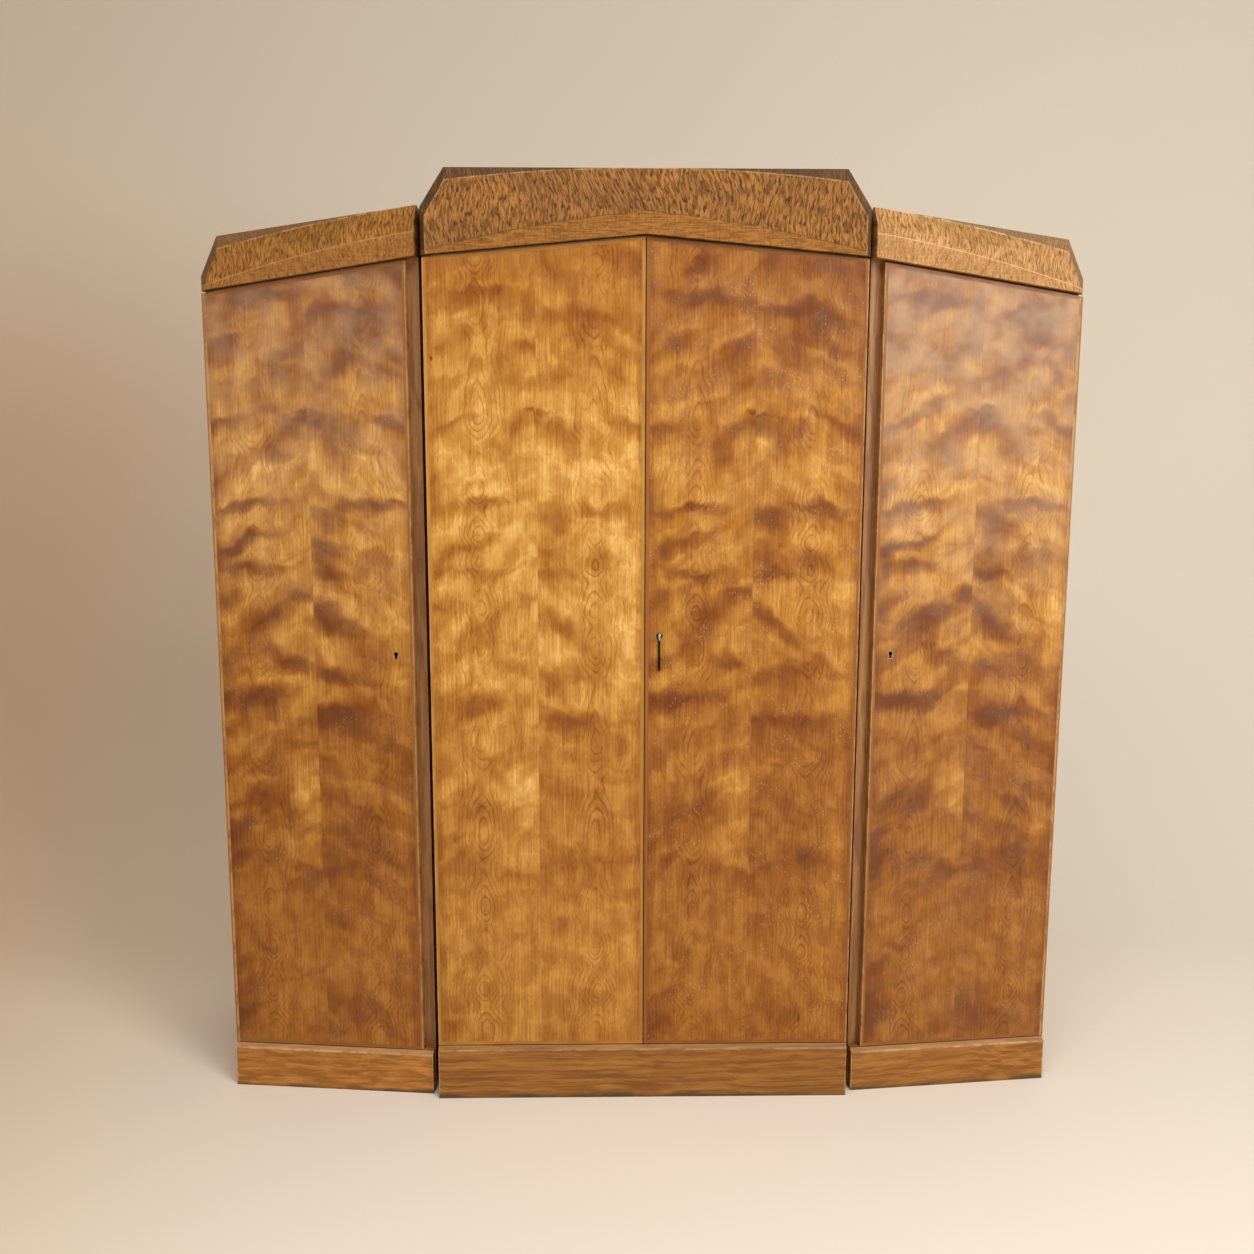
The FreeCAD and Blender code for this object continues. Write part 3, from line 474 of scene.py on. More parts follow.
# Back panels: thin birch plywood with its face grain upright, under one thin coat.
# They close each unit from behind, and are pinned to the sides and boards.
back_ease = 0.0005
back_ply = board_finish(
    "back_plywood", (1.0, 1.0, 0.03),
    (0.5, 0.34, 0.19), (0.43, 0.28, 0.145), (0.33, 0.2, 0.095), 0.68,
)
for unit in units:
    dress(unit + "_back_panel", back_ply, None, back_ease)


# Panel pins: small steel pins with low heads, driven through the back panels every 150 mm or so.
# Damp has rusted them a little.
handled_metal, taken, given = new_group(
    "handled_metal", ["Place"], ["Tarnish", "Scuffs"], "NodeSocketVector",
)
tarnish = noise(taken["Place"], 45.0, 4.0, 0.6)
scuffs = noise(scaled(taken["Place"], (1.0, 1.0, 9.0)), 420.0, 3.0, 0.6)
send(up_from(tarnish, 0.35, 0.7), given["Tarnish"])
send(up_from(scuffs, 0.35, 0.65), given["Scuffs"])


def metal_finish(name, bright, dull, smooth, rough):
    made, place = new_material(name)[:2]
    wear = placed_group(handled_metal, {"Place": place})
    body = mixed(wear["Tarnish"], bright, dull)
    gloss = times(wear["Tarnish"], 0.7, times(wear["Scuffs"], 0.3))
    polish = between(gloss, smooth, rough)
    surface(body, polish, wear["Scuffs"], 0.15, 0.0001, {"Metallic": 1.0})
    return made


def driven_heads(name, body, finish, spots, slotted):
    """Pin or screw heads as one mesh. A spot is a place, where it faces, its slot's turn and its radius."""
    head_rise = 0.12
    slot_half = 0.15
    flat_part = 0.78
    slot_floor = 0.2
    arc_steps = 8
    made = bmesh.new()
    for place, facing, slot_turn, radius in spots:
        level_way = facing.cross(Vector((0.0, 0.0, 1.0)))
        along = level_way * math.cos(slot_turn) + Vector((0.0, 0.0, math.sin(slot_turn)))
        across = facing.cross(along)
        proud = facing * head_rise * radius
        slot = slot_half * radius if slotted else 0.0
        first = math.asin(slot / radius)
        for half in (1, -1):
            low = []
            high = []
            for step in range(arc_steps + 1):
                turn = first + (math.pi - 2 * first) * step / arc_steps
                out = along * radius * math.cos(turn)
                low.append(made.verts.new(place + out + across * half * radius * math.sin(turn)))
                over = max(slot, flat_part * radius * math.sin(turn))
                high.append(made.verts.new(place + flat_part * out + across * half * over + proud))
            if half < 0:
                low.reverse()
                high.reverse()
            for step in range(arc_steps):
                made.faces.new((low[step], low[step + 1], high[step + 1], high[step]))
            made.faces.new(high)
            if slotted:
                made.faces.new((low[-1], low[0], high[0], high[-1]))
        if slotted:
            floor = place + slot_floor * proud
            ends = ((-1, -1), (1, -1), (1, 1), (-1, 1))
            corners = [floor + along * radius * a + across * slot * b for a, b in ends]
            made.faces.new([made.verts.new(corner) for corner in corners])
    mesh = bpy.data.meshes.new(name)
    made.to_mesh(mesh)
    made.free()
    mesh.materials.append(finish)
    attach(new_piece(name, mesh), body)


pin_steel = metal_finish("pin_steel", (0.33, 0.3, 0.27), (0.16, 0.1, 0.06), 0.4, 0.7)
pin_inset = 0.009
pin_gap = 0.15
pin_radius = 0.0021
back_face = 0.27
centre_head = 1.758
wing_head = 1.6888
wing_end = 0.894
backwards = Vector((0.0, 1.0, 0.0))
pin_places = []
for left, right, foot, head in (
    (-centre_half, centre_half, centre_foot, centre_head),
    (wing_corner_x, wing_end, wing_foot, wing_head),
    (-wing_end, -wing_corner_x, wing_foot, wing_head),
):
    rows = round((head - foot) / pin_gap)
    columns = round((right - left) / pin_gap)
    for step in range(rows + 1):
        z = foot + pin_inset + (head - foot - 2 * pin_inset) * step / rows
        pin_places += [(left + pin_inset, z), (right - pin_inset, z)]
    for step in range(1, columns):
        x = left + pin_inset + (right - left - 2 * pin_inset) * step / columns
        pin_places += [(x, foot + pin_inset), (x, head - pin_inset)]
pin_spots = [(Vector((x, back_face, z)), backwards, 0.0, pin_radius) for x, z in pin_places]
driven_heads("back_panel_pins", "carcass", pin_steel, pin_spots, False)


# Shelves: the hat shelf across the centre and four shelves in the right wing, of pale planed birch.
# Their edges are eased, and they are held between the sides.
shelf_ease = 0.0015
shelf_wood = board_finish("shelf_birch", crossways, inside_pale, inside_mid, inside_dark, 0.5)
for shelf_name in ("centre_hat_shelf", "right_shelves"):
    dress(shelf_name, shelf_wood, None, shelf_ease)


# Hanging rails and their cups: drawn brass tube, held in turned brass cups on the sides.
# Air has tarnished them in patches, and hangers have scuffed them.
rail_brass = metal_finish("rail_brass", (0.78, 0.56, 0.25), (0.4, 0.26, 0.11), 0.22, 0.48)
for rail_name in ("centre_hanging_rail", "left_hanging_rail", "rail_sockets"):
    dress(rail_name, rail_brass)


# Connecting bolts: turned steel bolts with a spacer on each, through the sides of the centre and the wings.
# They draw each wing to the centre, so that the wardrobe comes apart in three units.
bolt_steel = metal_finish("bolt_steel", (0.46, 0.45, 0.43), (0.2, 0.18, 0.16), 0.32, 0.6)
dress("connecting_bolts", bolt_steel)


# Cornices: thick birch boards scooped across the front, faced with a lacy cross-cut veneer full of short
# dark flecks. A plainer facet leans back from the lower edge, and bevels run round the top, clips and ends.
def flat_place(across, up, fine_across, fine_up):
    """A place on a flat face, with so many units to a metre across and up."""
    inputs = {0: times(across, fine_across), 1: times(up, fine_up)}
    return fed("CombineXYZ", inputs).outputs[0]


def flat_noise(across, up, fine_across, fine_up, detail):
    """Noise over a flat face, with so many waves to a metre across and up."""
    place = flat_place(across, up, fine_across, fine_up)
    inputs = {"Vector": place, "Scale": 1.0, "Detail": detail, "Roughness": 0.55}
    return fed("TexNoise", inputs, noise_dimensions="2D").outputs["Fac"]


lace_figure, taken, given = new_group(
    "lace_figure", ["Along", "Height", "Sway"], ["Flecks", "Threads", "Clouds"],
)
lace_foot = 1.85
over_foot = less(taken["Height"], lace_foot)
sway = flat_noise(taken["Along"], over_foot, 60.0, 70.0, 1.0)
slant = flat_noise(taken["Along"], over_foot, 3.0, 4.0, 1.0)
lean = times(slant, 1.2, -0.6)
leaned = times(over_foot, lean, taken["Along"])
swayed = times(sway, taken["Sway"], leaned)
flecks = flat_noise(swayed, over_foot, 230.0, 62.0, 1.0)
threads = flat_noise(swayed, over_foot, 270.0, 40.0, 1.0)
clouds = flat_noise(taken["Along"], over_foot, 9.0, 14.0, 2.0)
send(down_from(flecks, 0.29, 0.44), given["Flecks"])
send(up_from(threads, 0.36, 0.64), given["Threads"])
send(up_from(clouds, 0.3, 0.7), given["Clouds"])

scoop_depth = 0.026
scoop_end_depth = 0.003
facet_height = 0.046
top_bevel = 0.038
clip_bevel = 0.024
side_bevel = 0.013
crease_sharpness = 620.0
bevel_sharpness = 450.0
cornice_lines, taken, given = new_group(
    "cornice_lines",
    [
        "Along", "Height", "End", "Eaves", "Eaves fall", "Crown", "Crown fall",
        "Clip foot", "Clip run", "Clip rise",
    ],
    ["Facet", "Bevel", "Crease", "Arris"],
)
out = maths("DIVIDE", taken["Along"], taken["End"])
shallow = times(times(out, out), scoop_depth - scoop_end_depth)
bevel_share = maths("DIVIDE", shallow, scoop_depth)
scooped = less(scoop_depth, shallow)
eaves_drop = times(taken["Along"], taken["Eaves fall"])
eaves = less(taken["Eaves"], eaves_drop)
crease = times(scooped, facet_height / scoop_depth, eaves)
over_crease = less(taken["Height"], crease)
crown_drop = times(taken["Along"], taken["Crown fall"])
below_crown = less(less(taken["Crown"], crown_drop), taken["Height"])
below_crown = times(bevel_share, -top_bevel, below_crown)
inside_end = less(taken["End"], taken["Along"])
clip_up = less(taken["Height"], taken["Clip foot"])
inside_clip = times(inside_end, taken["Clip rise"])
inside_clip = less(inside_clip, times(clip_up, taken["Clip run"]))
inside_clip = times(bevel_share, -clip_bevel, inside_clip)
inside_end = times(bevel_share, -side_bevel, inside_end)
inside = maths("MINIMUM", below_crown, maths("MINIMUM", inside_clip, inside_end))
send(maths("LESS_THAN", over_crease, 0.0), given["Facet"])
send(maths("LESS_THAN", inside, 0.0), given["Bevel"])
from_crease = times(maths("ABSOLUTE", over_crease), crease_sharpness)
from_arris = times(maths("ABSOLUTE", inside), bevel_sharpness)
send(down_from(from_crease, 0.35, 1.0), given["Crease"])
send(down_from(from_arris, 0.35, 1.0), given["Arris"])


def lace_finish(name, across, start, lines, sway, fineness, facet_lace, tones):
    """The cornice veneer. Across is the way outwards along this cornice's front from its start. The tones
    are those of the pale and middle wood, the flecks, the facet, the bevels, the rubs and the painted
    highlight on the arris, and the crease line, which is painted shadow on the centre and painted highlight
    on the wings.
    """
    pale, mid, dark, facet_tone, bevel_tone, rub_highlight_tone, crease_shadow_highlight_tone = tones
    made, place, normal = new_material(name)
    along = measured(place, across)
    height = split(place)["Z"]
    out = apart(along, start)
    finer = times(along, fineness)
    lace = placed_group(lace_figure, {"Along": finer, "Height": height, "Sway": sway})
    lines = placed_group(cornice_lines, {"Along": out, "Height": height, **lines})
    body = mixed(lace["Threads"], mid, pale)
    body = tinted(body, lace["Clouds"], 0.3, dark)
    plain = times(lines["Facet"], 1.0 - facet_lace)
    streaks = flat_noise(along, height, 26.0, 230.0, 2.0)
    facet_wood = mixed(ramp(streaks, [(0.35, 0.9), (0.65, 0.0)]), facet_tone, mid)
    body = mixed(plain, body, facet_wood)
    shown = less(1.0, plain)
    body = tinted(body, times(lace["Flecks"], 0.85), shown, dark)
    hatch = times(lace["Threads"], -0.35, 1.0)
    body = tinted(body, lines["Bevel"], hatch, bevel_tone)
    rubs = ramp(flat_noise(along, height, 45.0, 45.0, 2.0), [(0.36, 0.15), (0.6, 1.0)])
    # The crease line is painted shadow on the centre cornice and a painted highlight on the wings.
    body = tinted(body, lines["Crease"], 0.65, crease_shadow_highlight_tone)
    worn_spots = ramp(flat_noise(along, height, 70.0, 110.0, 2.0), [(0.6, 0.0), (0.7, 0.5)])
    near_edge = maths("MAXIMUM", lines["Crease"], times(lines["Facet"], 0.35))
    body = tinted(body, worn_spots, near_edge, rub_highlight_tone)
    # The arris along the bevels: a painted highlight together with rubbed pale wood, in patches.
    body = tinted(body, times(lines["Arris"], rubs), 0.55, rub_highlight_tone)
    back = grained(place, crossways)
    back = mixed(back["Streaks"], (0.33, 0.2, 0.1), (0.46, 0.29, 0.15))
    facing = split(normal)["Y"]
    body = mixed(maths("GREATER_THAN", facing, 0.5), body, back)
    rough = between(lace["Clouds"], 0.46, 0.6)
    relief = times(lace["Flecks"], -1.0)
    surface(body, rough, relief, 0.3, 0.0006, {"Specular IOR Level": 0.2})
    return made


def cornice_form(end, eaves, eaves_fall, crown, crown_fall, clip_width, clip_height):
    """A cornice's outline: its half length, its lower and upper edges with their falls, and its clip."""
    slope = math.hypot(clip_width, clip_height)
    return {
        "End": end, "Eaves": eaves, "Eaves fall": eaves_fall, "Crown": crown, "Crown fall": crown_fall,
        "Clip foot": crown - crown_fall * (end - clip_width) - clip_height,
        "Clip run": clip_width / slope, "Clip rise": clip_height / slope,
    }


centre_lines = cornice_form(0.446, 1.8234, 0.09277, 1.95, 0.0, 0.048, 0.075)
wing_lines = cornice_form(0.44576, 1.782, 0.14945, 1.881, 0.13876, 0.036, 0.079)
for unit, across, start, lines, sway, fineness, facet_lace, tones in (
    ("centre", centre_way, 0.0, centre_lines, 0.004, 0.86, 0.25, (
        (0.365, 0.155, 0.033), (0.18, 0.066, 0.01), (0.052, 0.019, 0.004), (0.365, 0.142, 0.022),
        (0.08, 0.046, 0.022), (0.5, 0.29, 0.13), (0.11, 0.048, 0.014),
    )),
    ("left", left_way, wing_start, wing_lines, 0.006, 1.0, 0.6, (
        (0.385, 0.168, 0.034), (0.225, 0.085, 0.013), (0.11, 0.039, 0.007), (0.33, 0.14, 0.036),
        (0.165, 0.085, 0.037), (0.56, 0.33, 0.15), (0.43, 0.22, 0.075),
    )),
    # The right cornice's tones are painted lighter than the left's: painted light, where the right-hand
    # lamp falls on it.
    ("right", right_way, wing_start, wing_lines, 0.006, 1.0, 0.65, (
        (0.54, 0.292, 0.108), (0.35, 0.163, 0.045), (0.18, 0.076, 0.019), (0.47, 0.24, 0.085),
        (0.215, 0.12, 0.058), (0.74, 0.52, 0.28), (0.64, 0.4, 0.18),
    )),
):
    lace = lace_finish(unit + "_cornice_lace", across, start, lines, sway, fineness, facet_lace, tones)
    dress(unit + "_cornice_fascia", lace)
return_ease = 0.001
return_wood = board_finish(
    "cornice_return_birch", backways,
    (0.3, 0.142, 0.055), (0.225, 0.1, 0.036), (0.15, 0.062, 0.02), 0.5, dusty=True,
)
for unit in units:
    dress(unit + "_cornice_returns", return_wood, side_edge, return_ease)


# Hinges: pressed steel butts with turned pins, three to a door, let in flush behind it and screwed.
# Oil and dust have browned them.
hinge_steel = metal_finish("hinge_steel", (0.4, 0.39, 0.37), (0.17, 0.15, 0.13), 0.34, 0.62)
door_names = ("right_centre_door", "left_centre_door", "right_wing_door", "left_wing_door")
dress("carcass_hinge_leaves", hinge_steel)
dress("hinge_pins", hinge_steel)
for door in door_names:
    dress(door + "_hinge_leaves", hinge_steel)


# Door panels: blockboard faced with figured birch. Each door has two leaves, cut one after the other and
# opened like a book about its middle, so the eyes and the ripple come out in pairs. The polish is worn.
smoke_patch, taken, given = new_group(
    "smoke_patch",
    ["From seam", "Height", "Place", "Place up", "Length", "Thickness", "Fall", "Strength", "So far"],
    ["Smoke"],
)
away = less(taken["From seam"], taken["Place"])
over = less(taken["Height"], taken["Place up"])
over = times(away, taken["Fall"], over)
over = maths("DIVIDE", over, taken["Thickness"])
sharp_top = times(over, 1.35)
over = maths("MAXIMUM", sharp_top, over)
away = maths("DIVIDE", away, taken["Length"])
spread = times(away, away, times(over, over))
near = fed("Math", {0: 1.0, 1: spread}, operation="SUBTRACT", use_clamp=True).outputs[0]
near = times(near, near)
send(times(near, taken["Strength"], taken["So far"]), given["Smoke"])


def smoked(so_far, across, height, place, up, length, thickness, fall, strength):
    """Adds a soft dark patch to the smoke so far."""
    return placed_group(smoke_patch, {
        "From seam": across, "Height": height, "Place": place, "Place up": up, "Length": length,
        "Thickness": thickness, "Fall": fall, "Strength": strength, "So far": so_far,
    })["Smoke"]


birch_leaf, taken, given = new_group(
    "birch_leaf",
    ["Across", "Height", "Door", "Figure", "Shade"],
    ["Depth of colour", "Specks", "Seam", "Wear and sheen"],
)
height = taken["Height"]
right_leaf = maths("GREATER_THAN", taken["Across"], 0.0)
left_leaf = less(1.0, right_leaf)
leaf_number = times(taken["Door"], 2.0, right_leaf)
from_seam = maths("ABSOLUTE", taken["Across"])
own_up = times(leaf_number, 3.7, height)
like_up = times(leaf_number, 0.006, height)

# The growth rings, cut nearly flat: upright lines that part round the eyes.
eye_line = 0.118
eye_round = 0.01
eye_reach = 0.042
wander_reach = 0.018
rings_per_metre = 128.0
eye_pull = 2.9
bend_pull = 1.6
wander = flat_noise(from_seam, like_up, 9.0, 5.0, 1.0)
bend = flat_noise(from_seam, like_up, 24.0, 15.0, 1.0)
off_eye = less(from_seam, eye_line + wander_reach / 2)
off_eye = times(wander, wander_reach, off_eye)
off_squared = times(off_eye, off_eye)
by_eye = maths("DIVIDE", 1.0, times(off_squared, 1.0 / eye_reach ** 2, 1.0))
bowl = maths("SQRT", maths("ADD", off_squared, eye_round ** 2))
eye_heights = [
    0.154, 0.244, 0.344, 0.428, 0.586, 0.8, 1.005, 1.076, 1.17, 1.229, 1.315, 1.467, 1.693, 1.775, 1.86,
]
crest_place = 0.62
full_gap = 0.13
tallest = 2.0
share_up = maths("DIVIDE", height, tallest)
eye_stops = []
for low, high in zip(eye_heights, eye_heights[1:]):
    gap = high - low
    eye_stops.append((low / tallest, 0.0))
    eye_stops.append(((low + crest_place * gap) / tallest, min(1.0, gap / full_gap)))
crest = ramp(maths("DIVIDE", like_up, tallest), eye_stops)
ring_count = times(bowl, rings_per_metre)
ring_count = times(times(crest, by_eye), eye_pull, ring_count)
ring_count = times(bend, bend_pull, ring_count)
ring_part = maths("FRACT", ring_count)
ring_line = ramp(ring_part, [(0.0, 0.0), (0.42, 0.08), (0.72, 1.0), (0.86, 0.1), (1.0, 0.0)])
ring_fade = flat_noise(from_seam, own_up, 22.0, 7.0, 2.0)
ring_fade = ramp(ring_fade, [(0.37, 0.12), (0.62, 1.0)])
ring_fade = times(ring_fade, times(by_eye, 0.75, 0.25))
strong_foot = ramp(share_up, [(0.25, 1.1), (0.45, 1.0)])
rings = times(times(ring_line, ring_fade), strong_foot)

# Fine upright fibres, which also feather the edges of the dark ripple.
fine = flat_noise(from_seam, own_up, 620.0, 11.0, 1.0)
coarse = flat_noise(from_seam, own_up, 210.0, 4.5, 2.0)
fibres = times(coarse, 0.6, times(fine, 0.4))
billow_inputs = {"Vector": flat_place(from_seam, own_up, 13.0, 15.0), "Scale": 1.0, "Detail": 2.0}
billow = fed("TexNoise", billow_inputs, noise_dimensions="2D")
billow = fed("SeparateColor", {0: billow.outputs["Color"]}).outputs
feathering = 0.014
billow_up = 0.055
billow_out = 0.05
smoke_up = times(coarse, feathering, less(height, feathering / 2))
smoke_up = times(less(billow[0], 0.5), billow_up, smoke_up)
smoke_seam = times(less(billow[1], 0.5), billow_out, from_seam)

# Dark clouds that every door shows, on both its leaves or on one: how far from the seam, how high,
# half their length and thickness, how much they fall outwards, and how dark. Pale ones are below 0.
clouds = {
    "both": [
        (0.113, 1.768, 0.036, 0.016, 0.0, 0.6), (0.174, 1.6, 0.038, 0.012, 0.55, 0.65),
        (0.044, 1.552, 0.044, 0.016, -0.45, 0.5), (0.016, 1.456, 0.04, 0.018, 0.4, 0.95),
        (0.182, 1.448, 0.04, 0.01, 0.4, 0.8), (0.067, 1.4, 0.03, 0.016, 0.2, 0.5),
        (0.128, 1.286, 0.052, 0.009, 0.05, 0.95), (0.022, 0.5, 0.034, 0.01, -0.36, 0.32),
        (0.012, 1.478, 0.012, 0.004, 0.0, 0.8), (0.022, 1.418, 0.02, 0.026, 0.0, -0.35),
        (0.118, 1.35, 0.06, 0.03, 0.0, -0.25),
    ],
    "left": [
        (0.186, 0.525, 0.024, 0.014, 0.7, 0.45), (0.184, 0.222, 0.024, 0.015, 0.7, 0.5),
        (0.195, 0.155, 0.03, 0.022, 0.6, 0.65), (0.109, 1.704, 0.064, 0.011, 0.0, 1.0),
        (0.01, 1.695, 0.014, 0.026, 0.0, 0.5), (0.026, 1.606, 0.032, 0.011, 0.35, 0.7),
        (0.08, 1.494, 0.016, 0.012, 0.0, 0.45), (0.203, 1.321, 0.022, 0.018, 0.8, 0.65),
        (0.143, 1.208, 0.048, 0.009, 0.35, 0.9), (0.189, 1.172, 0.022, 0.018, 0.9, 0.7),
        (0.123, 1.154, 0.048, 0.009, 0.0, 0.8), (0.019, 1.099, 0.022, 0.009, 0.0, 0.8),
        (0.19, 1.081, 0.03, 0.018, 0.55, 0.55), (0.073, 1.065, 0.03, 0.018, 0.55, 0.55),
        (0.122, 1.026, 0.036, 0.028, 0.45, 0.7), (0.057, 0.967, 0.034, 0.015, -0.35, 0.8),
        (0.19, 0.964, 0.026, 0.015, 0.55, 0.55), (0.149, 0.88, 0.066, 0.016, 0.05, 1.05),
        (0.121, 0.653, 0.05, 0.022, 0.0, 0.5), (0.189, 0.59, 0.024, 0.014, 0.7, 0.6),
        (0.136, 0.326, 0.018, 0.01, 0.0, 0.5), (0.181, 0.279, 0.018, 0.012, 0.6, 0.5),
        (0.03, 0.69, 0.034, 0.044, 0.0, -0.55), (0.04, 0.555, 0.036, 0.022, -0.36, -0.3),
    ],
    "right": [
        (0.028, 1.777, 0.028, 0.018, 0.35, 0.75), (0.187, 1.76, 0.034, 0.022, 0.7, 0.75),
        (0.062, 1.678, 0.048, 0.011, -0.2, 0.75), (0.126, 1.664, 0.046, 0.02, 0.0, 1.05),
        (0.08, 1.607, 0.02, 0.02, 0.0, 0.5), (0.159, 1.558, 0.022, 0.015, 0.35, 0.55),
        (0.091, 1.442, 0.02, 0.013, 0.0, 0.5), (0.039, 1.265, 0.03, 0.018, 0.15, 1.0),
        (0.033, 1.184, 0.026, 0.034, 0.0, 0.8), (0.132, 1.178, 0.03, 0.013, 0.0, 0.6),
        (0.048, 1.144, 0.04, 0.008, 0.0, 0.6), (0.023, 1.059, 0.024, 0.018, 0.55, 0.8),
        (0.074, 1.025, 0.03, 0.016, 0.55, 0.65), (0.037, 0.933, 0.036, 0.016, 0.0, 0.8),
        (0.119, 0.948, 0.034, 0.024, 0.0, 0.55), (0.06, 0.845, 0.056, 0.018, 0.05, 0.8),
        (0.114, 0.532, 0.024, 0.018, 0.0, 0.25), (0.025, 0.39, 0.034, 0.018, 0.0, 0.35),
        (0.048, 0.183, 0.044, 0.036, 0.0, 0.32), (0.192, 1.08, 0.026, 0.08, 0.0, -0.35),
        (0.185, 0.6, 0.026, 0.04, 0.7, -0.4),
    ],
}
cloud_spread = 2.1
cloud_fullness = 1.35 * cloud_spread
smoke = {}
for side, rows in clouds.items():
    smoke[side] = 0.0
    for seam_gap, up, half_length, half_thickness, fall, strength in rows:
        length = cloud_spread * half_length
        thickness = cloud_fullness * half_thickness
        smoke[side] = smoked(
            smoke[side], smoke_seam, smoke_up, seam_gap, up, length, thickness, fall, strength,
        )
all_smoke = times(smoke["left"], left_leaf, smoke["both"])
all_smoke = times(smoke["right"], right_leaf, all_smoke)
falling = times(from_seam, 0.45, smoke_up)
ripple = flat_noise(from_seam, times(leaf_number, 0.9, falling), 7.0, 19.0, 2.0)
ripple = up_from(ripple, 0.32, 0.68)

# The chevron low on each door, and the right leaf, which was turned over and so takes the polish darker.
chevron_foot = 0.502
chevron_slope = 0.36
chevron = times(from_seam, chevron_slope, less(chevron_foot, smoke_up))
chevron = ramp(times(chevron, 5.0), [(0.0, 0.0), (0.03, 1.0), (0.9, 0.0)])
turned_stops = [(0.25, 0.0), (0.262, 1.0), (0.42, 1.0), (0.432, 0.0)]
turned = ramp(maths("DIVIDE", smoke_up, tallest), turned_stops)
turned = times(turned, right_leaf)

# How deep the colour lies at each height, and what darkens or lightens it. It darkens towards the foot,
# and near the top it darkens as painted shade under the cornice.
tone_stops = [
    (0.1, 0.76), (0.3, 0.66), (0.52, 0.68), (0.64, 0.57), (0.84, 0.5),
    (0.95, 0.28), (1.25, 0.18), (1.48, 0.22), (1.64, 0.54), (1.82, 0.76),
]
tone = ramp(share_up, [(up / tallest, value) for up, value in tone_stops])
calm_foot = ramp(share_up, [(0.2, 0.55), (0.32, 1.0)])
ripple_strength = 0.36
smoke_strength = 0.86
figure = times(times(ripple, calm_foot), ripple_strength)
figure = times(all_smoke, smoke_strength, figure)
mottle_up = times(leaf_number, 2.3, smoke_up)
mottle = up_from(flat_noise(from_seam, mottle_up, 34.0, 20.0, 3.0), 0.3, 0.7)
pores = down_from(flat_noise(from_seam, own_up, 560.0, 80.0, 1.0), 0.27, 0.4)
colour_depth = times(tone, taken["Shade"])
for part, strength in (
    (figure, taken["Figure"]), (rings, 0.62), (less(mottle, 0.5), 0.48), (less(fibres, 0.5), 1.0),
    (pores, 0.3), (chevron, 0.18), (turned, 0.24),
):
    colour_depth = times(part, strength, colour_depth)
send(colour_depth, given["Depth of colour"])
send(billow[2], given["Wear and sheen"])
speck_inputs = {"Vector": flat_place(from_seam, own_up, 190.0, 110.0), "Scale": 1.0}
speck_cells = fed("TexVoronoi", speck_inputs, voronoi_dimensions="2D").outputs
speck_dot = down_from(speck_cells["Distance"], 0.1, 0.26)
speck_pick = fed("SeparateColor", {0: speck_cells["Color"]}).outputs[0]
speck_pick = up_from(times(speck_pick, billow[2]), 0.44, 0.58)
send(times(speck_dot, speck_pick), given["Specks"])
seam_sharpness = 500.0
seam_line = down_from(times(from_seam, seam_sharpness), 0.15, 0.6)
send(times(seam_line, ring_fade), given["Seam"])

honey = (0.71, 0.42, 0.124)
stain_bite = (0.548, 0.383, 0.165)
deepest = 2.8
mark_strength = 2.0


def stained(depth):
    """The colour of the birch under so much stain."""
    return tuple(tint * bite ** depth for tint, bite in zip(honey, stain_bite))


stain_steps = 7
veneer_stops = []
for step in range(stain_steps + 1):
    veneer_stops.append((step / stain_steps, stained(deepest * step / stain_steps)))


def veneer_finish(name, across, front, seam, door, half_width, stain, figure, shade, painted_sheen, specks, marks):
    """A door's figured face. Across runs to the viewer's right along the door, and seam is its middle."""
    made, place, normal = new_material(name)
    along = measured(place, across)
    off_seam = less(along, seam)
    height = split(place)["Z"]
    leaf = placed_group(birch_leaf, {
        "Across": off_seam, "Height": height, "Door": door, "Figure": figure, "Shade": shade,
    })
    from_edge = less(half_width, maths("ABSOLUTE", off_seam))
    # Darker towards the door's side edges.
    edge_darkening = ramp(times(from_edge, 20.0), [(0.0, 0.45), (0.5, 0.0)])
    depth = maths("ADD", maths("ADD", leaf["Depth of colour"], stain), edge_darkening)
    for mark_across, mark_up, length, thickness in marks:
        depth = smoked(depth, off_seam, height, mark_across, mark_up, length, thickness, 0.0, mark_strength)
    body = ramp(maths("DIVIDE", depth, deepest), veneer_stops, "LINEAR")
    # Painted sheen: a pale haze over the upper doors, strongest on the wings and laid in patches, standing
    # in for the lamps' reflection.
    sheen_stops = [(0.05, 0.1 * painted_sheen), (0.42, 0.12 * painted_sheen), (0.88, painted_sheen)]
    sheen_by_height = ramp(maths("DIVIDE", height, tallest), sheen_stops)
    sheen_patches = ramp(leaf["Wear and sheen"], [(0.3, 0.4), (0.7, 1.6)])
    body = tinted(body, sheen_by_height, sheen_patches, (0.62, 0.45, 0.28))
    body = tinted(body, leaf["Specks"], specks, (0.64, 0.37, 0.14))
    body = tinted(body, leaf["Seam"], 0.6, (0.16, 0.06, 0.015))
    facing = measured(normal, front)
    plain = grained(place, upwards)
    plain = mixed(plain["Streaks"], (0.36, 0.2, 0.085), (0.5, 0.3, 0.145))
    body = mixed(maths("GREATER_THAN", facing, 0.3), plain, body)
    rough = fed("MapRange", {0: leaf["Wear and sheen"], 1: 0.3, 2: 0.7, 3: 0.34, 4: 0.48}).outputs[0]
    relief = flat_noise(along, height, 420.0, 9.0, 1.0)
    polish = {"Coat Weight": 0.08, "Coat Roughness": 0.3, "Specular IOR Level": 0.28}
    surface(body, rough, relief, 0.2, 0.0004, polish)
    return made


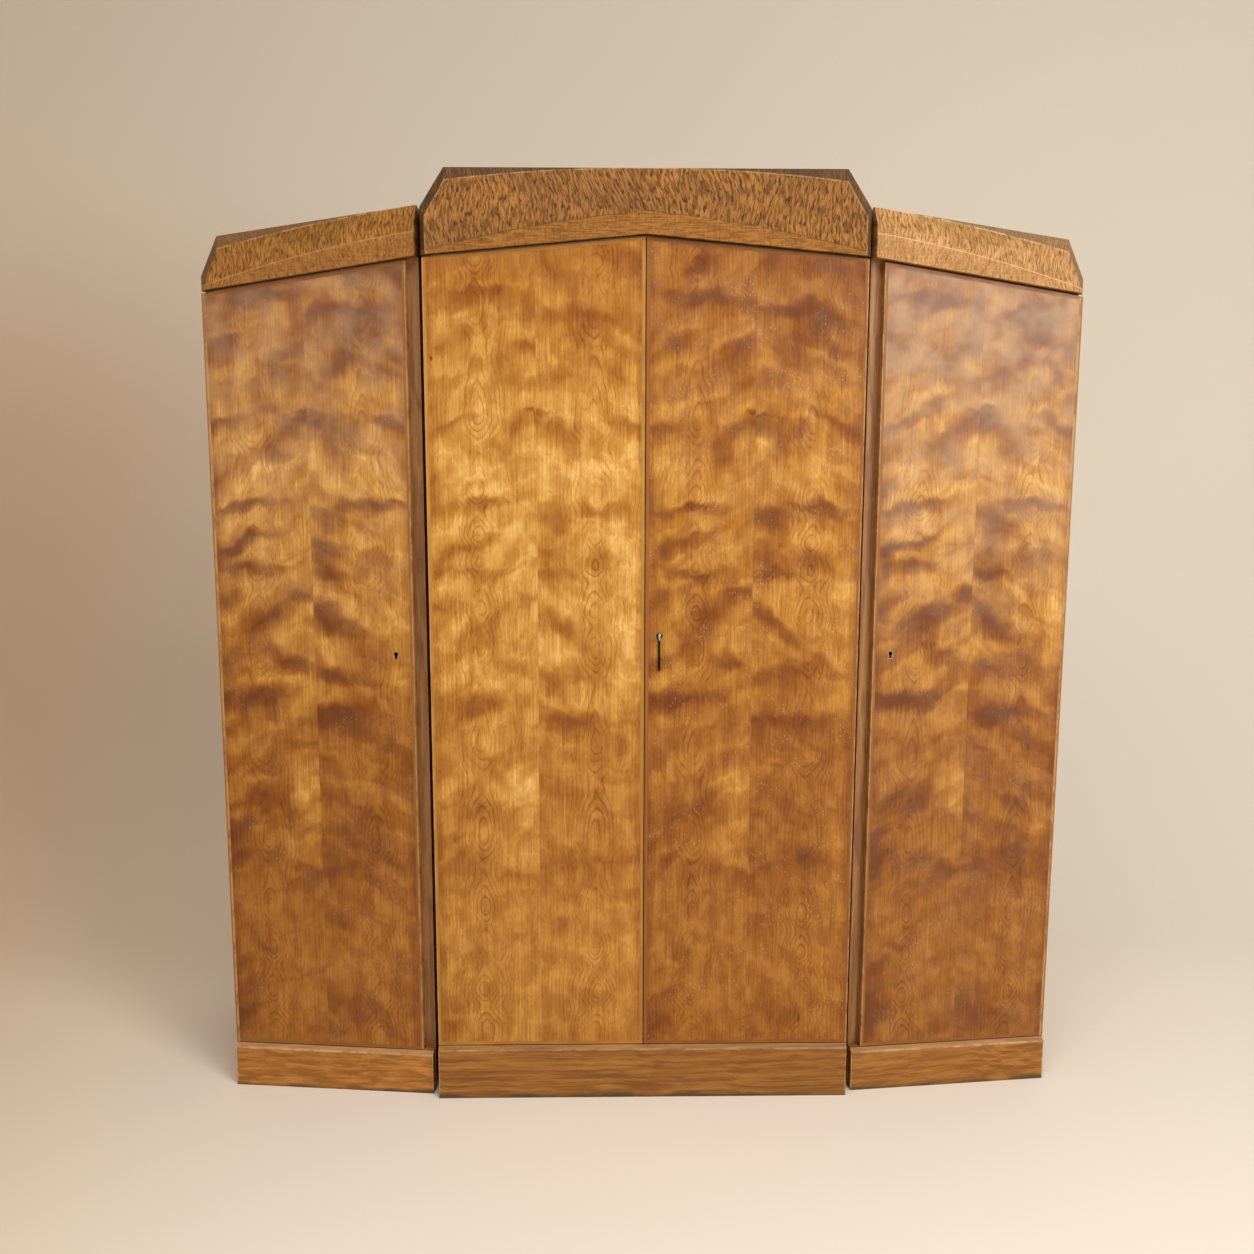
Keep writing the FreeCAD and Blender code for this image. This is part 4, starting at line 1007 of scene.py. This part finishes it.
centre_front = (0.0, -1.0, 0.0)
right_front = (math.sin(wing_turn), -math.cos(wing_turn), 0.0)
left_front = (-math.sin(wing_turn), -math.cos(wing_turn), 0.0)
wing_door_middle = 0.234
wing_seam = wing_start + wing_door_middle
left_to_right = tuple(-part for part in left_way)
for door, number, across, front, seam, half_width, stain, figure, shade, painted_sheen, specks, marks in (
    ("left_centre", 0, centre_way, centre_front, -0.22, 0.217, 0.13, 0.92, 1.0, 0.0, 0.15,
     [(-0.208, 1.583, 0.004, 0.008)]),
    ("right_centre", 1, centre_way, centre_front, 0.222, 0.217, 0.55, 1.35, 1.0, 0.03, 0.5,
     [(0.115, 0.178, 0.004, 0.016)]),
    ("left_wing", 2, left_to_right, left_front, -wing_seam, 0.205, 0.27, 1.7, 1.5, 0.14, 0.25, []),
    ("right_wing", 3, right_way, right_front, wing_seam, 0.205, 0.32, 1.8, 1.6, 0.25, 0.25, []),
):
    veneer = veneer_finish(
        door + "_veneer", across, front, seam, number, half_width,
        stain, figure, shade, painted_sheen, specks, marks,
    )
    dress(door + "_door_panel", veneer)


# Lippings: solid birch strips glued round each door to guard the veneer's edges, stained with it
# and rubbed pale along the outer arrises.
def lipping_finish(name, across, rubbed_edges, stain, dulled):
    """A door's lipping. The rubbed edges are places along the door's front."""
    made, place = new_material(name)[:2]
    along = measured(place, across)
    grain = grained(place, (0.15, 0.15, 0.05))
    body = wood_tones(grain, stained(stain + 0.95), stained(stain + 0.7), stained(stain + 0.45))
    body = tinted(body, grain["Blotches"], 0.35, stained(stain + 1.2))
    body = mixed(dulled, body, (0.2, 0.1, 0.045))
    share_up = maths("DIVIDE", split(place)["Z"], tallest)
    # Darker low down, and near the top painted shade under the cornice.
    darker_by_height = ramp(share_up, [(0.3, 0.4), (0.48, 0.1), (0.56, 0.0), (0.75, 0.0), (0.84, 0.35)])
    body = mixed(darker_by_height, body, stained(stain + 1.3))
    rubs = ramp(noise(place, 26.0, 4.0, 0.65), [(0.36, 0.1), (0.6, 0.75)])
    for edge in rubbed_edges:
        from_edge = apart(along, edge)
        arris = down_from(times(from_edge, arris_sharpness), 0.35, 0.85)
        body = tinted(body, arris, rubs, (0.5, 0.26, 0.09))
    rough = between(grain["Streaks"], 0.52, 0.38)
    surface(body, rough, grain["Streaks"], 0.25, 0.0004, {"Specular IOR Level": 0.35})
    return made


wing_door_inner = 0.023
wing_door_outer = 0.4379
wing_edges = [wing_start + wing_door_inner, wing_start + wing_door_outer]
for door, across, rubbed_edges, stain, dulled in (
    ("left_centre", centre_way, [-centre_half], 0.1, 0.12),
    ("right_centre", centre_way, [centre_half], 0.85, 0.15),
    ("left_wing", left_way, wing_edges, 0.72, 0.35),
    ("right_wing", right_way, wing_edges, 0.66, 0.35),
):
    dress(door + "_door_lipping", lipping_finish(door + "_lipping", across, rubbed_edges, stain, dulled))


# Rim locks: pressed steel cases with sliding steel bolts, screwed to the doors' backs.
# A box on the left centre door and plates in the wings' sides keep their bolts.
lock_steel = metal_finish("lock_steel", (0.36, 0.34, 0.31), (0.15, 0.13, 0.11), 0.3, 0.58)
for lock_name in (
    "centre_lock_case", "right_wing_lock_case", "left_wing_lock_case", "centre_lock_keep", "keep_plates",
    "centre_lock_bolt", "right_wing_lock_bolt", "left_wing_lock_bolt",
):
    dress(lock_name, lock_steel)


# Door bolts: two sliding steel bolts in folded casings, screwed to the left centre door's back.
# The top one goes up into the header rail and the other down into the base board.
for bolt_name in ("door_bolt_casings", "top_door_bolt", "bottom_door_bolt"):
    dress(bolt_name, lock_steel)


# Keyhole linings: thin brass tubes with a narrow rim, pressed into the keyholes so that the key does not
# wear the veneer. The rims have dulled, and the bores are painted near black as painted shade inside the
# keyholes.
carcass_front = -222.5


def on_front(side, u, v, z):
    """A place in millimetres, from the front of the centre (side 0) or of a wing (1 right, -1 left)."""
    if side == 0:
        return Vector((u, carcass_front + v, z)) / 1000.0
    x = 1000.0 * wing_corner_x + u * math.cos(wing_turn) - v * math.sin(wing_turn)
    y = 1000.0 * wing_corner_y + u * math.sin(wing_turn) + v * math.cos(wing_turn)
    return Vector((side * x, y, z)) / 1000.0


def keyhole_line(radius, half_slot, drop):
    """The outline of a keyhole: a round over a slot."""
    first = -math.acos(half_slot / radius)
    turns = [first + (math.pi - 2 * first) * step / round_steps for step in range(round_steps + 1)]
    line = [(radius * math.cos(turn), radius * math.sin(turn)) for turn in turns]
    return line + [(-half_slot, -drop), (half_slot, -drop)]


lining_brass = metal_finish("lining_brass", (0.58, 0.46, 0.33), (0.36, 0.25, 0.15), 0.34, 0.55)
# The bore's near black is painted shade inside the keyhole.
keyhole_shade = metal_finish("keyhole_shade", (0.02, 0.015, 0.012), (0.01, 0.008, 0.006), 0.5, 0.7)
door_face = -21.5
round_steps = 14
line_points = round_steps + 3
lining_loops = (
    (4.35, 2.55, 10.35, 16.0), (4.35, 2.55, 10.35, -0.3), (5.3, 3.5, 11.3, -0.3), (5.3, 3.5, 11.3, 0.0),
)
for name, body, side, hole_u, hole_z in (
    ("centre_keyhole_lining", "right_centre_door", 0, 30.0, 1021.0),
    ("right_wing_keyhole_lining", "right_wing_door", 1, 61.0, 977.0),
    ("left_wing_keyhole_lining", "left_wing_door", -1, 61.0, 977.0),
):
    lining_points = []
    for radius, half_slot, drop, v in lining_loops:
        for u, up in keyhole_line(radius, half_slot, drop):
            lining_points.append(on_front(side, hole_u + u, door_face + v, hole_z + up))
    lining_faces = []
    for loop in range(len(lining_loops) - 1):
        here = line_points * loop
        outer = here + line_points
        for k in range(line_points):
            after = (k + 1) % line_points
            lining_faces.append((here + k, here + after, outer + after, outer + k))
    lining_mesh = bpy.data.meshes.new(name)
    lining_mesh.from_pydata(lining_points, [], lining_faces)
    lining_mesh.materials.append(lining_brass)
    lining_mesh.materials.append(keyhole_shade)
    for wall in lining_mesh.polygons:
        wall.material_index = 1 if wall.index < line_points else 0
    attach(new_piece(name, lining_mesh), body)


# Woodscrews: slotted steel screws that hold the hinges, locks, keeps and bolt casings.
# Only their heads show, and their slots have stopped at all angles.
screw_steel = metal_finish("screw_steel", (0.46, 0.44, 0.4), (0.2, 0.17, 0.13), 0.28, 0.55)
screws = {door: [] for door in door_names}
screws["carcass"] = []
hinge_screw = 0.0024
lock_screw = 0.0028
small_screw = 0.0017
centre_hinges = (241.0, 969.1, 1697.3)
wing_hinges = (219.0, 924.9, 1630.8)


def inwards_from(side):
    """The way from a front into the wardrobe."""
    return (on_front(side, 0.0, 1.0, 0.0) - on_front(side, 0.0, 0.0, 0.0)).normalized()


for door, side, hinge_u, hinge_heights in (
    ("right_centre_door", 0, 432.4, centre_hinges),
    ("left_centre_door", 0, -432.4, centre_hinges),
    ("right_wing_door", 1, 432.2, wing_hinges),
    ("left_wing_door", -1, 432.2, wing_hinges),
):
    inwards = inwards_from(side)
    for hinge_height in hinge_heights:
        for drop, shift in ((-20.0, -2.0), (0.0, 2.0), (20.0, -2.0)):
            z = hinge_height + drop
            screws["carcass"].append((on_front(side, hinge_u + shift, 0.0, z), -inwards, z, hinge_screw))
            screws[door].append((on_front(side, hinge_u + shift, -1.5, z), inwards, z + 1.0, hinge_screw))
case_back = 12.5
for door, side, case_u, case_z in (
    ("right_centre_door", 0, 3.0, 1003.0),
    ("right_wing_door", 1, 34.0, 959.0),
    ("left_wing_door", -1, 34.0, 959.0),
):
    inwards = inwards_from(side)
    for u, z in ((6.0, 6.0), (54.0, 6.0), (6.0, 39.0), (54.0, 39.0)):
        screws[door].append((on_front(side, case_u + u, case_back, case_z + z), inwards, u + z, lock_screw))
keep_u = -20.0
for z in (1030.0, 1044.0):
    screws["left_centre_door"].append((on_front(0, keep_u, case_back, z), backwards, z, hinge_screw))
casing_back = 14.5
for casing_foot in (150.0, 1664.0):
    for x in (-46.4, -33.6):
        for z in (5.0, 57.0):
            spot = on_front(0, x, casing_back, casing_foot + z)
            screws["left_centre_door"].append((spot, backwards, x + z, small_screw))
plate_x = 0.484
plate_y = -0.185
for side in (1, -1):
    outwards = Vector((side, 0.0, 0.0))
    for z in (0.983, 1.003):
        spot = Vector((side * plate_x, plate_y, z))
        screws["carcass"].append((spot, outwards, side + 40.0 * z, small_screw))
for body, spots in screws.items():
    driven_heads(body + "_screws", body, screw_steel, spots, True)


# Key and fob: a nickelled steel key, worn by the hand, stands in the centre lock.
# A slim bar under dark lacquer hangs from it on a wire ring.
key_nickel = metal_finish("key_nickel", (0.74, 0.71, 0.66), (0.42, 0.38, 0.33), 0.2, 0.42)
dress("key", key_nickel)
fob_lacquer = metal_finish("fob_dark_lacquer", (0.03, 0.014, 0.01), (0.012, 0.006, 0.005), 0.35, 0.55)
dress("key_fob", fob_lacquer)
